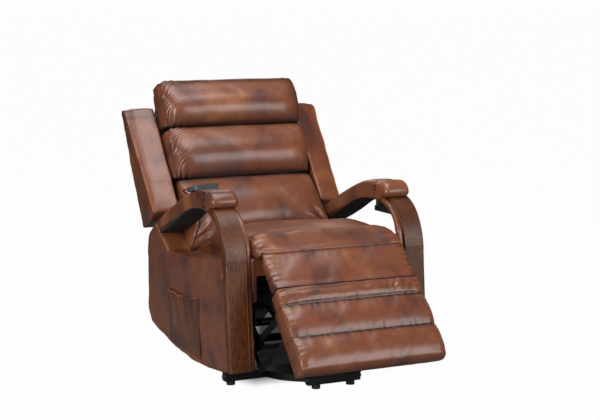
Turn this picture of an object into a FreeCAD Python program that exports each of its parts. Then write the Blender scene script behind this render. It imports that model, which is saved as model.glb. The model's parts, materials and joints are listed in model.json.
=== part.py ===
import FreeCAD, Part
import math
import os

# Lift recliner chair with open bentwood-style arms, shown half way up its footrest travel.
# Millimetres, +Z up, the sitter faces -Y, +X is the sitter's left. Side-view points are (y, z).

Vector = FreeCAD.Vector
X_AXIS = Vector(1, 0, 0)
DEPTH_SHIFT = 0.744  # centres the whole depth on the origin, from the side view's own zero

# Widths, from the middle of the chair outwards
SEAT_HALF_WIDTH = 276.0
SIDE_CLEARANCE = 8.0
ARM_WIDTH = 95.0
POST_BOARD_THICKNESS = 20.0
WING_DEPTH = 110.0
WING_FOOT_TAPER = 17.0
WING_FRONT_SLOPE = 28.0
FOOTREST_HALF_WIDTH = SEAT_HALF_WIDTH - SIDE_CLEARANCE
ARM_INNER_X = SEAT_HALF_WIDTH + SIDE_CLEARANCE
UPPER_ROLL_HALF_WIDTH = ARM_INNER_X
WING_INNER_X = ARM_INNER_X + SIDE_CLEARANCE
WING_OUTER_X = WING_INNER_X + WING_DEPTH
SOFT_GAP = 0.4

# Steel of the mechanism, stacked side by side from the wooden seat rail towards the middle
SEAT_RAIL_THICKNESS = 22.0
LINK_THICKNESS = 4.0
LIFT_ARM_THICKNESS = 6.0
WASHER_GAP = 1.5
RIVET_GAP = 2.5
BRACKET_GAP = 4.0
LAYER_GAP = 2.0
LINK_WIDTH = 24.0
RIVET_RADIUS = 5.0
RIVET_HEAD_GROWTH = 4.0
RIVET_HEAD_HEIGHT = 1.6
RUNNING_CLEARANCE = 0.05
OPEN_PIVOT_CLEARANCE = 0.6

ARM_OUTER_X = ARM_INNER_X + ARM_WIDTH
POST_INNER_X = ARM_INNER_X + POST_BOARD_THICKNESS
SIDE_PLATE_OUT = ARM_INNER_X - SEAT_RAIL_THICKNESS
SIDE_PLATE_IN = SIDE_PLATE_OUT - LINK_THICKNESS
CRANK_OUT = SIDE_PLATE_IN - WASHER_GAP
CRANK_IN = CRANK_OUT - LINK_THICKNESS
CARRY_OUT = CRANK_IN - RIVET_GAP
CARRY_IN = CARRY_OUT - LINK_THICKNESS
BRACKET_OUT = CARRY_IN - BRACKET_GAP
BRACKET_IN = BRACKET_OUT - LINK_THICKNESS
LIFT_PLATE_OUT = BRACKET_IN - LAYER_GAP
LIFT_PLATE_IN = LIFT_PLATE_OUT - LINK_THICKNESS
LIFT_ARM_OUT = LIFT_PLATE_IN - LAYER_GAP
LIFT_ARM_IN = LIFT_ARM_OUT - LIFT_ARM_THICKNESS
LIFT_LINK_OUT = LIFT_ARM_IN - LAYER_GAP
LIFT_LINK_IN = LIFT_LINK_OUT - LIFT_ARM_THICKNESS
BASE_BRACKET_OUT = LIFT_LINK_IN - LAYER_GAP
BASE_BRACKET_IN = BASE_BRACKET_OUT - LIFT_ARM_THICKNESS

# Floor frame
FOOT_HEIGHT = 14.0
FOOT_RADIUS = 15.0
BASE_TUBE = 30.0
BASE_TUBE_WALL = 2.0
FRONT_BAR_Y = -165.0
FRONT_BAR_HALF_LENGTH = 330.0
REAR_BAR_Y = 330.0
PAN_RADIUS = 190.0
PAN_SHEET = 3.0
PAN_RIM_DEPTH = 25.0
PAN_CENTRE_Y = FRONT_BAR_Y + BASE_TUBE / 2
FOOT_BAR_Y = PAN_CENTRE_Y - PAN_RADIUS
FOOT_BAR_HALF_LENGTH = 100.0
FOOT_BAR_DEPTH = 24.0
BOLT_ACROSS = 13.0
BOLT_HEAD = 6.0

# Lift linkage: two long arms and two links raise and tip the chair off the floor frame
LIFT_ARM_PIVOT = (310.0, 94.0)
LIFT_ARM_TIP = (-138.0, 100.0)
LIFT_LINK_PIVOT = (20.0, 177.0)
LIFT_LINK_TIP = (-235.0, 151.0)
LIFT_ARM_WIDTH = 36.0
LIFT_LINK_WIDTH = 30.0
LIFT_TUBE_RADIUS = 15.0
LIFT_PIN_RADIUS = 7.0
LIFT_OPEN_CLEARANCE = 1.2
LIFT_LEVER_LENGTH = 150.0
LIFT_LEVER_ANGLE = 50.0

# Footrest linkage: cranks with parallel carriers swing the board about a point at the seat edge
SWING_PIVOT = (-252.0, 350.0)
GUIDE_PIVOT = (-165.0, 330.0)
CRANK = (11.0, -206.0)
LONG_CRANK = (-48.0, -271.5)
CARRY = (-174.0, 122.0)
TORQUE_TUBE_RADIUS = 12.5
TORQUE_STUB_RADIUS = 6.0
FOOT_LEVER_LENGTH = 45.0
FOOT_LEVER_ANGLE = 0.0

# Seat frame
CROSS_TUBE_RADIUS = 12.5
FRONT_TUBE = (-215.0, 372.0)
MIDDLE_TUBE = (60.0, 365.0)
REAR_TUBE = (215.0, 372.0)
BACK_PIVOT = (265.0, 345.0)
BACK_TUBE_RADIUS = 11.0
SEAT_RAIL_BOTTOM = 300.0
SEAT_RAIL_REAR_Y = 300.0
PLATE_MARGIN = 3.0
SPRING_WIRE = 4.0
SPRING_COUNT = 3
SPRING_SPACING = 150.0
SPRING_HALF_SPAN = 42.0
SPRING_PITCH = 48.0
FRONT_RAIL_REAR_Y = -272.0
FRONT_RAIL_DEPTH = 24.0
FRONT_RAIL_BOTTOM = 395.0
FRONT_RAIL_TOP = 455.0
FRONT_BLOCK_BOTTOM = 308.0

# Seat cushion and the line down the front of the footrest
SEAT_EDGE = (-334.0, 478.0)
SEAT_REAR_Y = 228.0
SEAT_TOP = 508.0
SEAT_SIDE_DROP = 16.0
FOOTREST_ALONG = (-0.670, -0.742)
FOOTREST_OUT = (-0.742, 0.670)
FLAP_LENGTH = 148.0
FLAP_THICKNESS = 26.0
PAD_END = 457.0
CHANNELS = (148.0, 213.0, 333.0, 457.0)
PAD_CREASE = 15.0
PAD_CROWN = 28.0
PAD_REAR = -38.0
BOARD_THICKNESS = 26.0
BOARD_START = 200.0
BOARD_END = 440.0
BOARD_HALF_WIDTH = FOOTREST_HALF_WIDTH - 6.0

# Back rest, in its own slanted frame: s up the back, n out of its front
BACK_ORIGIN = (304.0, 430.0)
BACK_UP = (0.4147, 0.9100)
BACK_FRONT = (-0.9100, 0.4147)
ROLL_EDGES = (0.0, 237.0, 441.0, 622.0)
ROLL_REAR = -60.0
ROLL_CREASE = 8.0
CREASE_GAP = 0.2
LUMBAR_BULGE = 78.0
ROLL_BULGE = 45.0
BACK_BOARD_THICKNESS = 25.0
BACK_BOARD_START = 20.0
BACK_FOOT_TOP = 88.0
BACK_FOOT_HALF_WIDTH = ARM_INNER_X - 3.0
BACK_COVER_THICKNESS = 20.0
BACK_ARM_X = SEAT_HALF_WIDTH - 33.0
BACK_ARM_REACH = 160.0
BACK_LEVER = (37.0, -80.0)

# Electric actuators
CLEVIS_GAP = 12.0
CLEVIS_PLATE = 4.0
CLEVIS_RADIUS = 14.0
CLEVIS_PIN_RADIUS = 6.0
EYE_WIDTH = 22.0
ROD_RADIUS = 10.0
ROD_BORE_RADIUS = 10.1
ACTUATOR_TUBE_RADIUS = 15.0
GEARBOX_LENGTH = 62.0
GEARBOX_HALF_WIDTH = 24.0
MOTOR_RADIUS = 24.0
MOTOR_LENGTH = 96.0
MOTOR_OFFSET = 44.0
LIFT_MOTOR_REAR = (-140.0, 70.0)
LIFT_SLOT = (8.5, 14.0)
FOOT_MOTOR_X = -75.0
FOOT_MOTOR_REAR = (190.0, 300.0)
FOOT_SLOT = (8.0, 13.0)
BACK_MOTOR_X = 70.0
BACK_MOTOR_REAR = (20.0, 330.0)
BACK_SLOT = (8.5, 10.0)
BACK_MOTOR_NECK = 38.0

# Arms
ARM_SEAM_TOP = (351.0, 499.0)
ARM_SEAM_FOOT = (302.0, 464.5)
POST_SEAM_REAR = (-150.0, 596.0)
POST_SEAM_FRONT = (-166.0, 620.0)
PANEL_CORNER = (229.0, 413.0)
PANEL_FRONT_TOP = (-265.0, 458.0)
PANEL_FRONT_FOOT = (-303.0, 78.0)
ARM_CREST = (6.0, 650.0)
ARM_EDGE = 9.0
PANEL_EDGE = 5.0
POST_EDGE_RADIUS = 4.0
BOARD_SET_BACK = 7.0
SKIRT_REAR_Y = 403.0
SKIRT_THICKNESS = 8.0
SKIRT_BOTTOM = 118.0
SKIRT_TOP = 300.0

# Storage pocket on the sitter's right
POCKET_DEPTH = 16.0
POCKET_WALL = 4.0
POCKET_HEM = 7.0

# Handsets
HANDSET_LENGTH = 114.0
HANDSET_WIDTH = 48.0
HANDSET_THICK_END = 24.0
HANDSET_THIN_END = 15.0
HANDSET_YAW = 22.5
HANDSET_PITCH = -15.6
HANDSET_X = -ARM_INNER_X - 46.0
BUTTON_RADIUS = 5.0
BUTTON_CLEARANCE = 0.1
BUTTON_STEP = 16.0
BUTTON_RAISE = 1.6
BUTTON_TRAVEL = 1.2
BUTTON_DEPTH = 3.4
HOLDER_WALL = 3.0
SIDE_HANDSET_LENGTH = 150.0
SIDE_HANDSET_HEIGHT = 58.0
SIDE_HANDSET_THICKNESS = 15.0
SIDE_HANDSET_Y = -20.0
SIDE_HANDSET_BOTTOM = 537.0
CORD_RADIUS = 2.5
CORD_SIDES = 6
GROMMET_DEPTH = 4.0


# Plane geometry


def plus(a, b, scale=1.0):
    return (a[0] + b[0] * scale, a[1] + b[1] * scale)


def in_frame(origin, along, out, s, n):
    return plus(plus(origin, along, s), out, n)


def footrest_point(s, n):
    return in_frame(SEAT_EDGE, FOOTREST_ALONG, FOOTREST_OUT, s, n)


def back_point(s, n):
    return in_frame(BACK_ORIGIN, BACK_UP, BACK_FRONT, s, n)


def at_x(x, point):
    return Vector(x, point[0], point[1])


def side_wire(x, start, *steps):
    """Closed wire in the plane at x. A step is a point, or (through, point) for an arc."""
    edges = []
    here = start
    for step in steps:
        if isinstance(step[0], tuple):
            through, end = step
            edges.append(Part.Arc(at_x(x, here), at_x(x, through), at_x(x, end)).toShape())
        else:
            end = step
            edges.append(Part.makeLine(at_x(x, here), at_x(x, end)))
        here = end
    if math.dist(here, start) > 1e-6:
        edges.append(Part.makeLine(at_x(x, here), at_x(x, start)))
    return Part.Wire(edges)


def slab(x0, x1, start, *steps):
    return Part.Face(side_wire(x0, start, *steps)).extrude(Vector(x1 - x0, 0, 0))


def rounded_wire(x, points, radius):
    """Closed polygon in the plane at x whose corners all have one radius."""
    steps = []
    for i, corner in enumerate(points):
        before = points[i - 1]
        after = points[(i + 1) % len(points)]
        a = Vector(before[0] - corner[0], before[1] - corner[1], 0).normalize()
        b = Vector(after[0] - corner[0], after[1] - corner[1], 0).normalize()
        half = a.getAngle(b) / 2
        trim = radius / math.tan(half)
        middle = (a + b).normalize() * (radius / math.sin(half) - radius)
        first = (corner[0] + a.x * trim, corner[1] + a.y * trim)
        last = (corner[0] + b.x * trim, corner[1] + b.y * trim)
        steps.append(first)
        steps.append(((corner[0] + middle.x, corner[1] + middle.y), last))
    return side_wire(x, steps[-1][1], *steps)


def rounded_slab(x0, x1, points, radius):
    return Part.Face(rounded_wire(x0, points, radius)).extrude(Vector(x1 - x0, 0, 0))


def rod(x0, x1, centre, radius):
    return Part.makeCylinder(radius, x1 - x0, at_x(x0, centre), X_AXIS)


def bar(x0, x1, a, b, width):
    """Flat bar with round ends about a and b."""
    length = math.dist(a, b)
    along = ((b[0] - a[0]) / length, (b[1] - a[1]) / length)
    across = (-along[1] * width / 2, along[0] * width / 2)
    return slab(
        x0,
        x1,
        plus(a, across),
        (plus(a, along, -width / 2), plus(a, across, -1)),
        plus(b, across, -1),
        (plus(b, along, width / 2), plus(b, across)),
    )


def fuse(first, *others):
    return first.fuse(list(others)).removeSplitter()


def mirrored(shape):
    return shape.mirror(Vector(0, 0, 0), X_AXIS)


def both_sides(shape):
    return Part.makeCompound([shape, mirrored(shape)])


def box(x0, x1, y0, y1, z0, z1):
    return Part.makeBox(x1 - x0, y1 - y0, z1 - z0, Vector(x0, y0, z0))


def edges_on(shape, x):
    return [e for e in shape.Edges if all(abs(v.X - x) < 1e-6 for v in e.Vertexes)]


def rivet(x_shank, x_head, centre, radius=RIVET_RADIUS):
    """Shank from one layer through the next, with a low six-sided head past the far face."""
    shank = rod(min(x_shank, x_head), max(x_shank, x_head), centre, radius)
    side = -1 if x_head < x_shank else 1
    return shank.fuse(hex_head(x_head, centre, 2 * radius + RIVET_HEAD_GROWTH, side * RIVET_HEAD_HEIGHT))


def hex_head(x, centre, across, height):
    radius = across / math.sqrt(3)
    corners = []
    for i in range(7):
        turn = math.radians(60 * i)
        corners.append(at_x(x, plus(centre, (radius * math.cos(turn), radius * math.sin(turn)))))
    return Part.Face(Part.makePolygon(corners)).extrude(Vector(height, 0, 0))


# Cushions: one side-view section drawn in at the ends and crowned in the middle

HALF_STATIONS = ((1.0, 1.0), (0.975, 0.52), (0.92, 0.2), (0.75, 0.03), (0.0, -0.15))
STATIONS = [(-part, pull) for part, pull in HALF_STATIONS[:-1]] + list(reversed(HALF_STATIONS))


def pillow(section, half_width, draw_in):
    wires = [section(part * half_width, pull * draw_in) for part, pull in STATIONS]
    return Part.makeLoft(wires, True, True)


# Floor frame

BASE_TOP = FOOT_HEIGHT + BASE_TUBE
RAIL_CENTRE_X = (BASE_BRACKET_IN + BASE_BRACKET_OUT) / 2


def square_tube(x0, x1, y0, y1, capped):
    z0 = FOOT_HEIGHT
    wall = BASE_TUBE_WALL
    outer = box(x0, x1, y0, y1, z0, BASE_TOP)
    end = 0.0 if capped else wall
    hollow = box(x0 + wall, x1 - wall, y0 + wall - end, y1 - wall + end, z0 + wall, BASE_TOP - wall)
    return outer.cut(hollow)


def base_frame():
    """Two side rails welded between the front and rear cross bars."""
    half = BASE_TUBE / 2
    rear_half = RAIL_CENTRE_X + half
    rail = square_tube(
        RAIL_CENTRE_X - half, RAIL_CENTRE_X + half, FRONT_BAR_Y + half, REAR_BAR_Y - half, False
    )
    front = square_tube(
        -FRONT_BAR_HALF_LENGTH, FRONT_BAR_HALF_LENGTH, FRONT_BAR_Y - half, FRONT_BAR_Y + half, True
    )
    rear = square_tube(-rear_half, rear_half, REAR_BAR_Y - half, REAR_BAR_Y + half, True)
    return Part.makeCompound([front, rear, rail, mirrored(rail)])


def front_pan():
    """Half-round cover plate with a turned-down rim, in front of the front bar."""
    y0 = FRONT_BAR_Y - BASE_TUBE / 2
    centre_y = PAN_CENTRE_Y
    disc = Part.makeCylinder(PAN_RADIUS, PAN_SHEET, Vector(0, centre_y, BASE_TOP - PAN_SHEET))
    rim = Part.makeCylinder(PAN_RADIUS, PAN_RIM_DEPTH, Vector(0, centre_y, BASE_TOP - PAN_RIM_DEPTH))
    inner = Part.makeCylinder(
        PAN_RADIUS - PAN_SHEET, PAN_RIM_DEPTH, Vector(0, centre_y, BASE_TOP - PAN_RIM_DEPTH)
    )
    rear = box(-PAN_RADIUS, PAN_RADIUS, y0, y0 + 2 * PAN_RADIUS, 0, 2 * BASE_TOP)
    return disc.fuse(rim.cut(inner)).cut(rear).cut(foot_bar_block(0.0)).removeSplitter()


def foot_bar_block(clearance):
    half = FOOT_BAR_DEPTH / 2 + clearance
    length = FOOT_BAR_HALF_LENGTH + clearance
    return box(-length, length, FOOT_BAR_Y - half, FOOT_BAR_Y + half, FOOT_HEIGHT, BASE_TOP - PAN_SHEET)


def front_foot_bar():
    block = foot_bar_block(0.0)
    wall = BASE_TUBE_WALL
    half = FOOT_BAR_DEPTH / 2 - wall
    hollow = box(
        -FOOT_BAR_HALF_LENGTH + wall,
        FOOT_BAR_HALF_LENGTH - wall,
        FOOT_BAR_Y - half,
        FOOT_BAR_Y + half,
        FOOT_HEIGHT + wall,
        BASE_TOP - PAN_SHEET - wall,
    )
    return block.cut(hollow)


def levelling_foot(x, y):
    return Part.makeCylinder(FOOT_RADIUS, FOOT_HEIGHT, Vector(x, y, 0))


def levelling_feet():
    spots = []
    for side in (-1, 1):
        spots.append((side * (FRONT_BAR_HALF_LENGTH - 25), FRONT_BAR_Y))
        spots.append((side * FOOT_BAR_HALF_LENGTH * 0.66, FOOT_BAR_Y))
        spots.append((side * RAIL_CENTRE_X, REAR_BAR_Y))
    return Part.makeCompound([levelling_foot(x, y) for x, y in spots])


def base_bolts():
    middle = (FOOT_HEIGHT + BASE_TOP) / 2
    bolts = []
    for side in (-1, 1):
        for length, y in ((FRONT_BAR_HALF_LENGTH, FRONT_BAR_Y), (FOOT_BAR_HALF_LENGTH, FOOT_BAR_Y)):
            bolts.append(hex_head(side * length, (y, middle), BOLT_ACROSS, side * BOLT_HEAD))
    return Part.makeCompound(bolts)


def base_brackets():
    """Upright plates on the rails for the arm tube and the links, and ears for the lift motor."""
    x0 = BASE_BRACKET_IN
    x1 = BASE_BRACKET_OUT
    py, pz = LIFT_ARM_PIVOT
    rear = slab(
        x0,
        x1,
        (py - 28, BASE_TOP),
        (py + 28, BASE_TOP),
        (py + 25, pz),
        ((py, pz + 25), (py - 25, pz)),
    )
    rear = rear.cut(rod(x0, x1, LIFT_ARM_PIVOT, LIFT_TUBE_RADIUS + RUNNING_CLEARANCE))
    qy, qz = LIFT_LINK_PIVOT
    front = slab(
        x0,
        x1,
        (qy - 62, BASE_TOP),
        (qy + 62, BASE_TOP),
        (qy + 19, qz),
        ((qy, qz + 19), (qy - 19, qz)),
    )
    front = front.fuse(rod(x0, LIFT_LINK_OUT, LIFT_LINK_PIVOT, LIFT_PIN_RADIUS))
    front = front.fuse(hex_head(x0, LIFT_LINK_PIVOT, BOLT_ACROSS * 1.5, -BOLT_HEAD))
    gy, gz = LIFT_MOTOR_REAR
    ear = slab(
        CLEVIS_GAP,
        CLEVIS_GAP + CLEVIS_PLATE,
        (FRONT_BAR_Y - BASE_TUBE / 2, BASE_TOP),
        (FRONT_BAR_Y + BASE_TUBE / 2, BASE_TOP),
        (gy + CLEVIS_RADIUS, gz),
        ((gy, gz + CLEVIS_RADIUS), (gy - CLEVIS_RADIUS, gz)),
    )
    reach = CLEVIS_GAP + CLEVIS_PLATE
    ears = fuse(ear, mirrored(ear), rod(-reach, reach, LIFT_MOTOR_REAR, CLEVIS_PIN_RADIUS))
    return Part.makeCompound([rear, front, mirrored(rear), mirrored(front), ears])


# Lift linkage


def lift_lever_point():
    turn = math.radians(LIFT_LEVER_ANGLE)
    lever = (-LIFT_LEVER_LENGTH * math.sin(turn), LIFT_LEVER_LENGTH * math.cos(turn))
    return plus(LIFT_ARM_PIVOT, lever)


def lift_torque_tube():
    tube = rod(-LIFT_ARM_OUT, LIFT_ARM_OUT, LIFT_ARM_PIVOT, LIFT_TUBE_RADIUS)
    return fuse(tube, *lever_pair(0.0, LIFT_ARM_PIVOT, lift_lever_point(), CLEVIS_PIN_RADIUS))


def lever_pair(x, root, tip, pin_radius):
    """Two plates either side of an actuator end, joined by its pin."""
    near = x + CLEVIS_GAP
    far = near + CLEVIS_PLATE
    plates = [bar(near, far, root, tip, 2 * CLEVIS_RADIUS)]
    plates.append(bar(2 * x - far, 2 * x - near, root, tip, 2 * CLEVIS_RADIUS))
    plates.append(rod(2 * x - far, far, tip, pin_radius))
    return plates


def lift_arms():
    arm = bar(LIFT_ARM_IN, LIFT_ARM_OUT, LIFT_ARM_PIVOT, LIFT_ARM_TIP, LIFT_ARM_WIDTH)
    arm = arm.fuse(rod(LIFT_ARM_IN, LIFT_ARM_OUT, LIFT_ARM_PIVOT, LIFT_ARM_WIDTH * 0.72))
    arm = arm.cut(rod(LIFT_ARM_IN, LIFT_ARM_OUT, LIFT_ARM_PIVOT, LIFT_TUBE_RADIUS))
    arm = arm.cut(rod(LIFT_ARM_IN, LIFT_ARM_OUT, LIFT_ARM_TIP, LIFT_PIN_RADIUS + RUNNING_CLEARANCE))
    return both_sides(arm.removeSplitter())


def lift_links():
    link = bar(LIFT_LINK_IN, LIFT_LINK_OUT, LIFT_LINK_PIVOT, LIFT_LINK_TIP, LIFT_LINK_WIDTH)
    bore = LIFT_PIN_RADIUS + RUNNING_CLEARANCE
    link = link.cut(rod(LIFT_LINK_IN, LIFT_LINK_OUT, LIFT_LINK_PIVOT, bore))
    bore = LIFT_PIN_RADIUS + LIFT_OPEN_CLEARANCE
    return both_sides(link.cut(rod(LIFT_LINK_IN, LIFT_LINK_OUT, LIFT_LINK_TIP, bore)))


def lift_plates():
    """Chair-side plates of the lift, hung on the seat's cross tubes."""
    py, pz = LIFT_ARM_TIP
    qy, qz = LIFT_LINK_TIP
    top = REAR_TUBE[1] + CROSS_TUBE_RADIUS + PLATE_MARGIN
    outline = (
        (qy - 24, qz - 14),
        (qy - 16, qz + 22),
        (MIDDLE_TUBE[0] - 34, top),
        (REAR_TUBE[0] + 26, top),
        (REAR_TUBE[0] + 26, REAR_TUBE[1] - 26),
        (py + 30, pz - 20),
        (py - 20, pz - 22),
    )
    plate = rounded_slab(LIFT_PLATE_IN, LIFT_PLATE_OUT, outline, 12.0)
    for tube in (MIDDLE_TUBE, REAR_TUBE):
        plate = plate.cut(rod(LIFT_PLATE_IN, LIFT_PLATE_OUT, tube, CROSS_TUBE_RADIUS))
    window = plus(MIDDLE_TUBE, (-100.0, -118.0))
    plate = plate.cut(rod(LIFT_PLATE_IN, LIFT_PLATE_OUT, window, 34.0))
    for tip, end in ((LIFT_ARM_TIP, LIFT_ARM_IN), (LIFT_LINK_TIP, LIFT_LINK_IN)):
        plate = plate.fuse(rivet(LIFT_PLATE_IN, end, tip, LIFT_PIN_RADIUS))
    return both_sides(plate)


# Seat frame


def side_plates():
    """Mechanism plate inside each seat rail, carrying the footrest and back pivots."""
    low = GUIDE_PIVOT[1] - 24
    high = REAR_TUBE[1] + CROSS_TUBE_RADIUS + PLATE_MARGIN
    front = SWING_PIVOT[0] - 22
    rear = BACK_PIVOT[0] + 26
    outline = ((front, low + 14), (front, high), (rear, high), (rear, low), (GUIDE_PIVOT[0] - 30, low))
    plate = rounded_slab(SIDE_PLATE_IN, SIDE_PLATE_OUT, outline, 10.0)
    for y0, y1 in ((-100.0, 10.0), (110.0, 170.0)):
        window = bar(SIDE_PLATE_IN, SIDE_PLATE_OUT, (y0, 345.0), (y1, 345.0), 40.0)
        plate = plate.cut(window)
    bore = TORQUE_STUB_RADIUS + RUNNING_CLEARANCE
    plate = plate.cut(rod(SIDE_PLATE_IN, SIDE_PLATE_OUT, GUIDE_PIVOT, bore))
    bore = BACK_TUBE_RADIUS + RUNNING_CLEARANCE
    plate = plate.cut(rod(SIDE_PLATE_IN, SIDE_PLATE_OUT, BACK_PIVOT, bore))
    plate = plate.fuse(rivet(SIDE_PLATE_IN, CRANK_IN, SWING_PIVOT))
    return both_sides(plate)


def seat_rails():
    front = FRONT_RAIL_REAR_Y
    top = REAR_TUBE[1] + CROSS_TUBE_RADIUS
    return both_sides(box(SIDE_PLATE_OUT, ARM_INNER_X, front, SEAT_RAIL_REAR_Y, SEAT_RAIL_BOTTOM, top))


def seat_cross_tubes():
    """Three tubes between the side plates, with ears for two motors."""
    tubes = []
    for centre in (FRONT_TUBE, MIDDLE_TUBE, REAR_TUBE):
        tube = rod(-SIDE_PLATE_IN, SIDE_PLATE_IN, centre, CROSS_TUBE_RADIUS)
        if centre is REAR_TUBE:
            tube = fuse(tube, *lever_pair(FOOT_MOTOR_X, centre, FOOT_MOTOR_REAR, CLEVIS_PIN_RADIUS))
        if centre is MIDDLE_TUBE:
            tube = fuse(tube, *lever_pair(BACK_MOTOR_X, centre, BACK_MOTOR_REAR, CLEVIS_PIN_RADIUS))
        tubes.append(tube)
    return Part.makeCompound(tubes)


def ribbon(points, width, z0, height):
    """Flat strip of even width that follows a bent line in plan."""
    left = []
    right = []
    for i, here in enumerate(points):
        into = here - points[max(i - 1, 0)]
        out = points[min(i + 1, len(points) - 1)] - here
        into = into.normalize() if into.Length else out.normalize()
        out = out.normalize() if out.Length else into
        mitre = (into + out).normalize()
        reach = width / 2 / mitre.dot(out)
        across = Vector(-mitre.y, mitre.x, 0) * reach
        left.append(here + across)
        right.insert(0, here - across)
    outline = [Vector(p.x, p.y, z0) for p in left + right]
    return Part.Face(Part.makePolygon(outline + outline[:1])).extrude(Vector(0, 0, height))


def seat_springs():
    """Zigzag springs from the front tube to the rear tube, under the cushion."""
    z0 = REAR_TUBE[1] + CROSS_TUBE_RADIUS
    y0 = FRONT_TUBE[0]
    runs = 2 * int((REAR_TUBE[0] - y0) / (2 * SPRING_PITCH))
    pitch = (REAR_TUBE[0] - y0) / runs
    corner = pitch * 0.3
    springs = []
    for i in range(SPRING_COUNT):
        x = (i - (SPRING_COUNT - 1) / 2) * SPRING_SPACING
        points = []
        for k in range(runs + 1):
            y = y0 + k * pitch
            side = 1 if k % 2 else -1
            far = side * SPRING_HALF_SPAN
            near = side * (SPRING_HALF_SPAN - corner)
            points += [Vector(x - far, y - corner, 0), Vector(x - near, y, 0)] if k else []
            points += [Vector(x + near, y, 0), Vector(x + far, y + corner, 0)] if k < runs else []
        springs.append(ribbon(points, SPRING_WIRE, z0, SPRING_WIRE))
    return Part.makeCompound(springs)


def seat_front_rail():
    """Leather-covered rail under the seat edge, with a block at each end."""
    y0 = FRONT_RAIL_REAR_Y - FRONT_RAIL_DEPTH
    y1 = FRONT_RAIL_REAR_Y
    rail = box(-ARM_INNER_X, ARM_INNER_X, y0, y1, FRONT_RAIL_BOTTOM, FRONT_RAIL_TOP)
    block = box(SIDE_PLATE_OUT + 2, ARM_INNER_X, y0, y1, FRONT_BLOCK_BOTTOM, FRONT_RAIL_TOP)
    return fuse(rail, block, mirrored(block))


def seat_section(x, pull):
    top = SEAT_TOP - pull
    ey, ez = SEAT_EDGE
    under = FRONT_RAIL_TOP + SOFT_GAP
    bottom = REAR_TUBE[1] + CROSS_TUBE_RADIUS + SPRING_WIRE + SOFT_GAP
    inner = FRONT_RAIL_REAR_Y + SOFT_GAP
    return side_wire(
        x,
        (inner, bottom),
        (SEAT_REAR_Y - 4, bottom),
        (SEAT_REAR_Y, top - 38),
        ((30.0, top), (-200.0, top)),
        ((ey + 28, top - 6), (ey, ez - pull * 0.3)),
        ((ey + 5, ez - 15), (ey + 18, under)),
        (inner, under),
    )


def seat_cushion():
    return pillow(seat_section, SEAT_HALF_WIDTH, SEAT_SIDE_DROP)


# Arms, posts and side panels


def along_seam(distance):
    """Point down the seam between arm pad and panel from its top."""
    run = (ARM_SEAM_FOOT[0] - ARM_SEAM_TOP[0], ARM_SEAM_FOOT[1] - ARM_SEAM_TOP[1])
    return plus(ARM_SEAM_TOP, run, distance / math.hypot(*run))


def side_panel():
    """Leather side panel with its low front ledge, as wide as the arm and eased at its outer edge."""

    def section(x, pull):
        return side_wire(
            x,
            plus(PANEL_FRONT_FOOT, (0, pull)),
            ((-40.0, 56.0 + pull), (378.0, 114.0 + pull)),
            ((420.0 - pull, 134.0 + pull), (438.0 - pull, 178.0)),
            (433.0 - pull, 420.0),
            (416.0 - pull, 453.0 - pull),
            along_seam(pull),
            plus(PANEL_CORNER, (0, -pull)),
            ((80.0, 419.0 - pull), plus(PANEL_FRONT_TOP, (0, -pull))),
        )

    return eased_loft(section, 0.0, PANEL_EDGE)


def arm_pad():
    """Padded arm: a band that rises in an arch from the panel to a rolled front end."""

    def section(x, pull):
        return side_wire(
            x,
            along_seam(pull),
            ((184.0, 582.0 - pull), plus(ARM_CREST, (0, -pull))),
            ((-66.0, 664.0 - pull), (-138.0, 664.0 - pull)),
            ((-176.0 + pull * 0.7, 658.0 - pull), (-192.0 + pull, 638.0 - pull * 0.3)),
            ((-190.0 + pull, 624.0), (-180.0 + pull, 619.0)),
            POST_SEAM_FRONT,
            POST_SEAM_REAR,
            ((-20.0, 593.0), (102.0, 550.0)),
            ((205.0, 502.0), ARM_SEAM_FOOT),
        )

    return eased_loft(section, ARM_EDGE, ARM_EDGE)


def eased_loft(section, inner_ease, outer_ease):
    """Solid of the arm's width whose section is drawn in by an ease at either side."""
    stations = [(ARM_INNER_X, inner_ease), (ARM_INNER_X + inner_ease, 0.0)] if inner_ease else []
    stations = stations or [(ARM_INNER_X, 0.0)]
    for ease, pull in ((1.0, 0.0), (0.3, 0.3), (0.0, 1.0)):
        stations.append((ARM_OUTER_X - ease * outer_ease, pull * outer_ease))
    return Part.makeLoft([section(x, pull) for x, pull in stations], True, True)


def post_shape(x0, x1, set_back):
    seam = (POST_SEAM_REAR[0] - POST_SEAM_FRONT[0], POST_SEAM_REAR[1] - POST_SEAM_FRONT[1])
    return slab(
        x0,
        x1,
        plus(POST_SEAM_FRONT, seam, 1.4 * set_back / math.hypot(*seam)),
        ((-221.0 + set_back, 597.0 - set_back), (-262.0 + set_back, 555.0 - set_back)),
        ((-288.0 + set_back, 505.0), (-300.0 + set_back, 455.0)),
        ((-315.0 + set_back, 260.0), (-334.0 + set_back, 82.0)),
        PANEL_FRONT_FOOT,
        PANEL_FRONT_TOP,
        ((-254.0, 522.0), (-227.0, 560.0)),
        ((-192.0, 582.0), POST_SEAM_REAR),
    )


def arm_post():
    post = post_shape(POST_INNER_X, ARM_OUTER_X, 0.0)
    long_edges = [e for e in edges_on(post, ARM_OUTER_X) if e.CenterOfMass.y < -250 and e.Length > 60]
    return post.makeFillet(POST_EDGE_RADIUS, [e for e in long_edges if e.CenterOfMass.y < -290])


def post_boards():
    return both_sides(post_shape(ARM_INNER_X, POST_INNER_X, BOARD_SET_BACK))


def rear_skirt():
    """Board that closes the back below the seat, between the side panels."""
    front = SKIRT_REAR_Y - SKIRT_THICKNESS
    return box(-ARM_INNER_X, ARM_INNER_X, front, SKIRT_REAR_Y, SKIRT_BOTTOM, SKIRT_TOP)


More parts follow.
